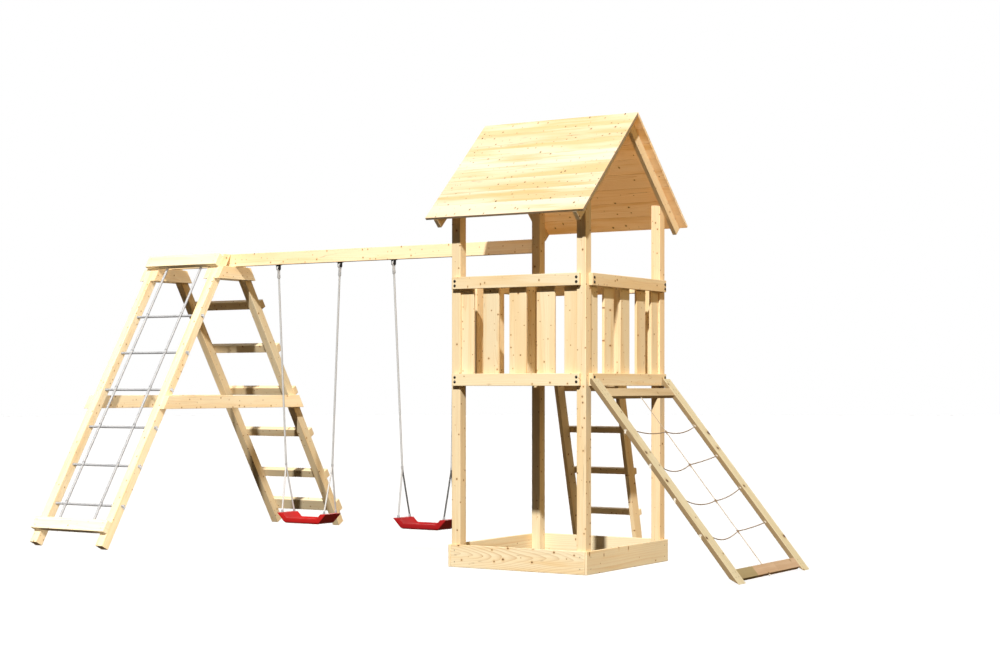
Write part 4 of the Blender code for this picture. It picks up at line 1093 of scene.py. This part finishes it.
# ------------------------------------------------------------------ climbing net
K2 = 0.0145
for i, s in enumerate(NET_S):
    b = Bundle()
    b.rope([on_front(FAR_X[0] - 0.004, s, DEPTH), on_front(NEAR_X[1] + 0.004, s, DEPTH)], NET_R, 0.032, depth=0.10)
    for x, dx in ((FAR_X[0] - K2 * 0.80 - 0.001, -1), (NEAR_X[1] + K2 * 0.80 + 0.001, 1)):
        b.knot(on_front(x, s, DEPTH), EX * dx, K2 + 0.0010, 0.0056, 0.040, turn=i)
        end = on_front(x + dx * 0.006, s, DEPTH)
        b.rope(curve([end, end + Vector((dx * 0.006, -0.003, -0.008)), end + Vector((dx * 0.004, -0.004, -0.022))], 6),
               NET_R * 0.62, 0.034)
    b.piece("climbing_net_row_%d" % (i + 1), ROPE_NET, "frame", "climbing_net", "grey_rope")
front_of = DEPTH + 2 * NET_R - 0.0025
low, high, bend = sum(BOARD_LOW_S) / 2, sum(BOARD_TOP_S) / 2, 0.014
for i, x in enumerate(NET_X):
    b = Bundle()
    arc = [(bend - bend * cos(t), front_of + bend - bend * sin(t)) for t in [pi / 2 * j / 8 for j in range(9)]]
    path = [on_front(x, low, 0.029)] + [on_front(x, low + u, v) for u, v in arc]
    path += [on_front(x, high - u, v) for u, v in reversed(arc)] + [on_front(x, high, 0.029)]
    b.rope(path, NET_R, 0.032, depth=0.10)
    # a seizing at each crossing
    for s in NET_S:
        for h in (-1, 1):
            b.wrap(on_front(x, s + h * 0.0150 - 0.0045, front_of), on_front(x, s + h * 0.0150 + 0.0045, front_of),
                   NET_R * 0.93, 0.0012, 3)
    b.piece("climbing_net_upright_%d" % (i + 1), ROPE_NET, "frame", "climbing_net", "grey_rope")


# ------------------------------------------------------------------ hangers
def hanger(name, x):
    bm = bmesh.new()
    c = P(x, YB, BEAM_Z0)

    def boxy(dx, dy, z0, z1, edge):
        m = Matrix.Translation(Vector((dx[0] + dx[1], dy[0] + dy[1], z0 + z1)) / 2) @ Matrix.Diagonal(
            (dx[1] - dx[0], dy[1] - dy[0], z1 - z0, 1))
        r = bmesh.ops.create_cube(bm, size=1.0, matrix=m)
        vs = set(r["verts"])
        es = [q for q in bm.edges if q.verts[0] in vs and q.verts[1] in vs]
        bmesh.ops.bevel(bm, geom=es, offset=edge, segments=2, profile=0.5, affect='EDGES', clamp_overlap=True)

    boxy((-0.022, 0.022), (-0.0175, 0.0175), -0.0042, -0.0002, 0.0012)
    zp = PIVOT_Z - BEAM_Z0
    for a, b in ((-0.0145, -0.0100), (0.0100, 0.0145)):           # fork, round at its foot
        ring = [(cos(t) * 0.011, zp + sin(t) * 0.0113) for t in [pi + pi * i / 12 for i in range(13)]]
        ring += [(0.011, -0.0035), (-0.011, -0.0035)]
        lo = [bm.verts.new((a, u, v)) for u, v in ring]
        hi = [bm.verts.new((b, u, v)) for u, v in ring]
        bm.faces.new(lo)
        bm.faces.new(list(reversed(hi)))
        for i in range(len(ring)):
            j = (i + 1) % len(ring)
            bm.faces.new((lo[i], hi[i], hi[j], lo[j]))
    for s in (-1, 1):                                              # pin with a head at each end
        lathe(bm, [(PIN_R * 0.9, 0), (PIN_R * 0.9, 0.0145), (PIN_R, 0.0146), (PIN_R, 0.0166), (PIN_R * 0.8, 0.0174), (0, 0.0175)],
              Vector((0, 0, zp)), EX * s)
    bmesh.ops.recalc_face_normals(bm, faces=bm.faces)
    me = bpy.data.meshes.new(name)
    bm.to_mesh(me)
    bm.free()
    me.shade_smooth()
    me.set_sharp_from_angle(angle=radians(35))
    place(name + "_bracket", me, BLACK, Matrix.Translation(c), "frame", name)
    bolts(name + "_bolts", [P(x + k * 0.0168, YB, BEAM_Z0 - 0.0042) for k in (-1, 1)], -EZ, r=0.0036, h=0.0030)


# ------------------------------------------------------------------ swings
def fillet(pts, radii, n=5):
    """Outline with each corner rounded by its radius."""
    out = []
    m = len(pts)
    for i in range(m):
        p, a, b = Vector(pts[i]), Vector(pts[i - 1]), Vector(pts[(i + 1) % m])
        r = radii[i]
        if r <= 0:
            out.append(tuple(p))
            continue
        u, v = (a - p).normalized(), (b - p).normalized()
        ang = u.angle(v)
        d = r / tan(ang / 2)
        c = p + (u + v).normalized() * (r / sin(ang / 2))
        s, e = p + u * d, p + v * d
        a0 = atan2(s.y - c.y, s.x - c.x)
        a1 = atan2(e.y - c.y, e.x - c.x)
        while a1 - a0 > pi:
            a1 -= 2 * pi
        while a1 - a0 < -pi:
            a1 += 2 * pi
        out += [(c.x + r * cos(a0 + (a1 - a0) * k / n), c.y + r * sin(a0 + (a1 - a0) * k / n)) for k in range(n + 1)]
    return out


def xz_solid(name, pts, half):
    """Outline in x and z pushed both ways along y; half may vary with z."""
    bm = bmesh.new()
    lo = [bm.verts.new((a, -half(b), b)) for a, b in pts]
    hi = [bm.verts.new((a, half(b), b)) for a, b in pts]
    bm.faces.new(lo)
    bm.faces.new(list(reversed(hi)))
    for i in range(len(pts)):
        j = (i + 1) % len(pts)
        bm.faces.new((lo[i], hi[i], hi[j], lo[j]))
    bmesh.ops.recalc_face_normals(bm, faces=bm.faces)
    me = bpy.data.meshes.new(name)
    bm.to_mesh(me)
    bm.free()
    ob = bpy.data.objects.new(name, me)
    bpy.context.scene.collection.objects.link(ob)
    return ob


def loft(name, layers):
    """Closed solid through outlines in x and z, one for each y."""
    bm = bmesh.new()
    rows = [[bm.verts.new((a, y, b)) for a, b in pts] for y, pts in layers]
    bm.faces.new(rows[0])
    bm.faces.new(list(reversed(rows[-1])))
    n = len(rows[0])
    for lo, hi in zip(rows, rows[1:]):
        for i in range(n):
            j = (i + 1) % n
            bm.faces.new((lo[i], hi[i], hi[j], lo[j]))
    bmesh.ops.recalc_face_normals(bm, faces=bm.faces)
    me = bpy.data.meshes.new(name)
    bm.to_mesh(me)
    bm.free()
    ob = bpy.data.objects.new(name, me)
    bpy.context.scene.collection.objects.link(ob)
    return ob


def seat(name, xc, body, mat):
    # the front and the back roll under at their lower edge
    layers = []
    for sign, steps in ((-1, (0, 1, 2, 3, 4)), (1, (4, 3, 2, 1, 0))):
        for i in steps:
            f = i * pi / 8
            lift = 0.016 * (1 - sin(f))
            layers.append((sign * (0.0805 + 0.0113 * cos(f)),
                           fillet([(-0.240, 0.218), (-0.168 - lift * 0.3, 0.140 + lift), (0.168 + lift * 0.3, 0.140 + lift),
                                   (0.240, 0.218)], [0.0, 0.042, 0.042, 0.0], 10)))
    ob = loft(name, layers)
    tools = []
    rim = fillet([(-0.150, 0.181), (0.150, 0.181), (0.190, 0.2195), (0.190, 0.25), (-0.190, 0.25), (-0.190, 0.2195)],
                 [0.022, 0.022, 0.010, 0, 0, 0.010], 6)
    tools.append(xz_solid("rim", rim, lambda z: 0.2))
    dish = fillet([(-0.132, 0.162), (0.132, 0.162), (0.1935, 0.2195), (0.1935, 0.25), (-0.1935, 0.25), (-0.1935, 0.2195)],
                  [0.045, 0.045, 0.012, 0, 0, 0.012], 8)
    tools.append(xz_solid("dish", dish, lambda z: 0.0765 + 0.0065 * min(1.0, (z - 0.162) / 0.03)))
    hollow = fillet([(-0.1603, 0.1300), (0.1603, 0.1300), (0.1603, 0.1420), (0.2275, 0.2120), (0.1925, 0.2120), (0.1342, 0.1575),
                     (-0.1342, 0.1575), (-0.1925, 0.2120), (-0.2275, 0.2120), (-0.1603, 0.1420)],
                    [0, 0, 0.012, 0, 0.012, 0.045, 0.045, 0.012, 0, 0.012], 5)
    tools.append(xz_solid("hollow", hollow, lambda z: 0.0740))
    bm = bmesh.new()
    for i in (-1, 1):
        for j in (-1, 1):
            cylinder(bm, Vector((i * SEAT_HOLE[0], j * SEAT_HOLE[1], 0.205)), Vector((i * SEAT_HOLE[0], j * SEAT_HOLE[1], 0.225)), 0.0088, 24)
    me = bpy.data.meshes.new("holes")
    bm.to_mesh(me)
    bm.free()
    h = bpy.data.objects.new("holes", me)
    bpy.context.scene.collection.objects.link(h)
    tools.append(h)
    for tl in tools:
        m = ob.modifiers.new(tl.name, 'BOOLEAN')
        m.operation = 'DIFFERENCE'
        m.solver = 'EXACT'
        m.object = tl
    m = ob.modifiers.new("soft", 'BEVEL')
    m.width = 0.0022
    m.segments = 3
    m.limit_method = 'ANGLE'
    m.angle_limit = radians(32)
    bpy.context.view_layer.update()
    me = bpy.data.meshes.new_from_object(ob.evaluated_get(bpy.context.evaluated_depsgraph_get()))
    for o in [ob] + tools:
        bpy.data.objects.remove(o, do_unlink=True)
    me.name = name + "_shell"
    # grip bars across the dish, and a raised ring round each rope hole
    bm = bmesh.new()
    bm.from_mesh(me)
    for i in range(-4, 5):
        x = i * 0.024
        m = Matrix.Translation((x, 0, 0.1618)) @ Matrix.Diagonal((0.0060, 0.118, 0.0022, 1))
        r = bmesh.ops.create_cube(bm, size=1.0, matrix=m)
        vs = set(r["verts"])
        es = [q for q in bm.edges if q.verts[0] in vs and q.verts[1] in vs]
        bmesh.ops.bevel(bm, geom=es, offset=0.0009, segments=2, profile=0.5, affect='EDGES', clamp_overlap=True)
    for i in (-1, 1):
        for j in (-1, 1):
            at = Vector((i * SEAT_HOLE[0], j * SEAT_HOLE[1], 0.2178))
            n = 28
            prof = [(0.0086, -0.0006), (0.0086, 0.0010), (0.0094, 0.0017), (0.0110, 0.0017), (0.0120, 0.0010), (0.0124, -0.0006)]
            rows = [[bm.verts.new(at + Vector((r * cos(2 * pi * q / n), r * sin(2 * pi * q / n), hh))) for q in range(n)] for r, hh in prof]
            for a, b in zip(rows, rows[1:] + rows[:1]):
                for q in range(n):
                    bm.faces.new((a[q], a[(q + 1) % n], b[(q + 1) % n], b[q]))
    bmesh.ops.recalc_face_normals(bm, faces=bm.faces)
    bm.to_mesh(me)
    bm.free()
    me.shade_smooth()
    me.set_sharp_from_angle(angle=radians(33))
    return place(name + "_shell", me, mat, Matrix.Translation(P(xc, YB, 0)), body, name)


def swing_rope(name, xh, xs, xc, side, body, mat, legs):
    pivot = P(xh, YB, PIVOT_Z)
    fork = P(xs, YB, SPLIT_Z)
    down = (fork - pivot).normalized()
    rr = PIN_R + 0.0006 + SWING_R
    b = Bundle()
    # the eye goes round the pin and back down to its throat
    loop = [pivot + EY * (rr * cos(a)) - down * (rr * sin(a)) for a in [radians(-58 + 296 * i / 8) for i in range(9)]]
    path = curve([pivot + down * 0.056 + EY * 0.0045, pivot + down * 0.038 + EY * 0.0078] + loop
                 + [pivot + down * 0.038 - EY * 0.0078, pivot + down * 0.056 - EY * 0.0045], 8)
    b.rope(path, SWING_R * 0.86, 0.028, depth=0.14)
    b.rope([pivot + down * 0.050, fork + down * 0.002], SWING_R, 0.030, depth=0.12)
    b.piece(name + "_strands", mat, body, name, "grey_rope")
    hx, hy = SEAT_HOLE
    for j, leg_mat in zip((-1, 1), legs):
        b = Bundle()
        hole = P(xc + side * hx, YB + j * hy, 0.2185)
        end = P(xc + side * hx, YB + j * hy, 0.2060)
        start = fork + (hole - fork).normalized() * 0.001 - down * 0.006
        b.rope(curve([start, fork + (hole - fork) * 0.06, fork + (hole - fork) * 0.5, hole + EZ * 0.006 + (fork - hole) * 0.004, hole, end], 10),
               SWING_R * 0.84, 0.028, depth=0.12)
        b.knot(P(xc + side * hx, YB + j * hy, 0.2030), EZ, 0.0100, 0.0042, 0.030, turn=j)
        b.piece(name + ("_leg_front" if j < 0 else "_leg_rear"), leg_mat, body, name, "grey_rope")
    w = Bundle()
    w.wrap(pivot + down * 0.046, pivot + down * 0.074, SWING_R * 1.16, 0.0015, 9)
    w.wrap(fork - down * 0.012, fork + down * 0.006, SWING_R * 0.99, 0.0010, 8)
    w.piece(name + "_whipping", mat, body, name, "grey_rope")
    bm = bmesh.new()
    cen = P(xc + side * hx, YB, 0.23)
    for j in (-1, 1):
        hole = P(xc + side * hx, YB + j * hy, 0.2185)
        ax = (fork - hole).normalized()
        lathe(bm, [(0.0074, -0.001), (0.0090, 0.0), (0.0094, 0.002), (0.0090, 0.010), (0.0082, 0.019), (0.0074, 0.021), (0.0058, 0.0213)],
              hole + EZ * 0.0008 - cen, (ax + EZ).normalized())
    bmesh.ops.holes_fill(bm, edges=[e for e in bm.edges if e.is_boundary], sides=0)
    bmesh.ops.recalc_face_normals(bm, faces=bm.faces)
    me = bpy.data.meshes.new(name + "_collars")
    bm.to_mesh(me)
    bm.free()
    me.shade_smooth()
    me.set_sharp_from_angle(angle=radians(40))
    place(name + "_collars", me, COLLAR, Matrix.Translation(cen), body, name)


for n in (0, 1):
    body = "swing_%d" % (n + 1)
    seat("seat_%d" % (n + 1), SEAT_X[n], body, RED[n])
    for k, side in enumerate(("left", "right")):
        hanger("hanger_%d_%s" % (n + 1, side), HANGER_X[n][k])
        # the rope legs carry painted light and shade: swing 1's front legs take the lit copy, swing 2's rear legs and
        # right front leg the shaded copy
        swing_rope("rope_%d_%s" % (n + 1, side), HANGER_X[n][k], SPLIT_X[n][k], SEAT_X[n], (-1, 1)[k], body,
                   ROPE_LIGHT,
                   ((ROPE_PAINTED_LIT, ROPE_LIGHT), (ROPE_PAINTED_SHADE if k else ROPE_LIGHT, ROPE_PAINTED_SHADE))[n])

# ------------------------------------------------------------------ floor and light
bm = bmesh.new()
bmesh.ops.create_circle(bm, cap_ends=True, radius=60, segments=96)
me = bpy.data.meshes.new("floor")
bm.to_mesh(me)
bm.free()
floor = bpy.data.objects.new("floor", me)
floor.location = (0, 0, -0.0006)
bpy.context.scene.collection.objects.link(floor)
k = Nodes("pale_floor")
k.bsdf.inputs["Base Color"].default_value = (0.86, 0.86, 0.86, 1)
k.bsdf.inputs["Roughness"].default_value = 0.9
k.bsdf.inputs["Specular IOR Level"].default_value = 0.1
me.materials.append(k.mat)
floor.visible_diffuse = False
floor.visible_glossy = False


def sun(name, towards, strength, angle, rgb=(1, 1, 1), shadow=True):
    li = bpy.data.lights.new(name, 'SUN')
    li.energy = strength
    li.angle = angle
    li.color = rgb
    li.use_shadow = shadow
    ob = bpy.data.objects.new(name, li)
    ob.rotation_euler = Vector(towards).to_track_quat('Z', 'Y').to_euler()
    bpy.context.scene.collection.objects.link(ob)
    return ob


def only(light, objects, state='INCLUDE'):
    """The light reaches only these objects, or all but these."""
    c = bpy.data.collections.new(light.name + "_reach")
    for o in objects:
        c.objects.link(o)
    light.light_linking.receiver_collection = c
    for co in c.collection_objects:
        co.light_linking.link_state = state


def called(*starts):
    return [o for o in MADE if o.name.startswith(starts)]


key = sun("key", (0.48, -1.0, 0.90), 4.9, radians(1.6), (1.0, 0.975, 0.92))
only(key, [floor], 'EXCLUDE')
ramp_off = bpy.data.collections.new("key_blockers")
for o in called("ramp_"):
    ramp_off.objects.link(o)
key.light_linking.blocker_collection = ramp_off
for co in ramp_off.collection_objects:
    co.light_linking.link_state = 'EXCLUDE'
back = sun("back_fill", (-0.62, 0.70, 0.42), 1.1, radians(50), (1.0, 0.97, 0.92))
only(back, [floor], 'EXCLUDE')
side_fill = sun("side_fill", (1.0, 0.0, 0.12), 1.0, radians(40), (1.0, 0.64, 0.24))
only(side_fill, [floor], 'EXCLUDE')
frame_fill = sun("frame_fill", (0.80, -0.50, 0.35), 1.5, radians(40), (1.0, 0.98, 0.96), shadow=False)
only(frame_fill, called("leg_front", "frame_board", "frame_tie", "crossbar_", "climbing_net"))
beam_fill = sun("beam_fill", (0.0, -1.0, 0.2), 1.15, radians(40), (1.0, 0.74, 0.56), shadow=False)
only(beam_fill, called("swing_beam"))
under_roof = sun("under_roof", (0.20, -0.35, -1.0), 1.3, radians(60), (1.0, 0.60, 0.26), shadow=False)
only(under_roof, called("roof_rear"))
top = sun("floor_light", (0.0, 0.0, 1.0), 3.4, radians(20), (1, 1, 1), shadow=False)
only(top, [floor])

w = bpy.data.worlds.new("studio")
bpy.context.scene.world = w
w.use_nodes = True
t = w.node_tree
t.nodes.clear()
wo = t.nodes.new("ShaderNodeOutputWorld")
bg = t.nodes.new("ShaderNodeBackground")
bg2 = t.nodes.new("ShaderNodeBackground")
mx = t.nodes.new("ShaderNodeMixShader")
lp = t.nodes.new("ShaderNodeLightPath")
tc = t.nodes.new("ShaderNodeTexCoord")
sx = t.nodes.new("ShaderNodeSeparateXYZ")
mr = t.nodes.new("ShaderNodeMapRange")
cr = t.nodes.new("ShaderNodeMix")
cr.data_type = 'RGBA'
t.links.new(tc.outputs["Generated"], sx.inputs[0])
t.links.new(sx.outputs[2], mr.inputs[0])
mr.inputs[1].default_value, mr.inputs[2].default_value = -0.15, 0.95
t.links.new(mr.outputs[0], cr.inputs[0])
cr.inputs[6].default_value = (0.085, 0.061, 0.037, 1)
cr.inputs[7].default_value = (0.33, 0.315, 0.285, 1)
t.links.new(cr.outputs[2], bg.inputs[0])
# a little less comes from the front than from behind
side = t.nodes.new("ShaderNodeMapRange")
side.inputs[1].default_value, side.inputs[2].default_value = -1.0, 1.0
side.inputs[3].default_value, side.inputs[4].default_value = 0.42, 1.20
t.links.new(sx.outputs[1], side.inputs[0])
t.links.new(side.outputs[0], bg.inputs[1])
bg2.inputs[0].default_value = (1, 1, 1, 1)
bg2.inputs[1].default_value = 1.0
t.links.new(lp.outputs["Is Camera Ray"], mx.inputs[0])
t.links.new(bg.outputs[0], mx.inputs[1])
t.links.new(bg2.outputs[0], mx.inputs[2])
t.links.new(mx.outputs[0], wo.inputs[0])
bpy.context.scene.view_settings.view_transform = 'Standard'
bpy.context.scene.view_settings.look = 'None'
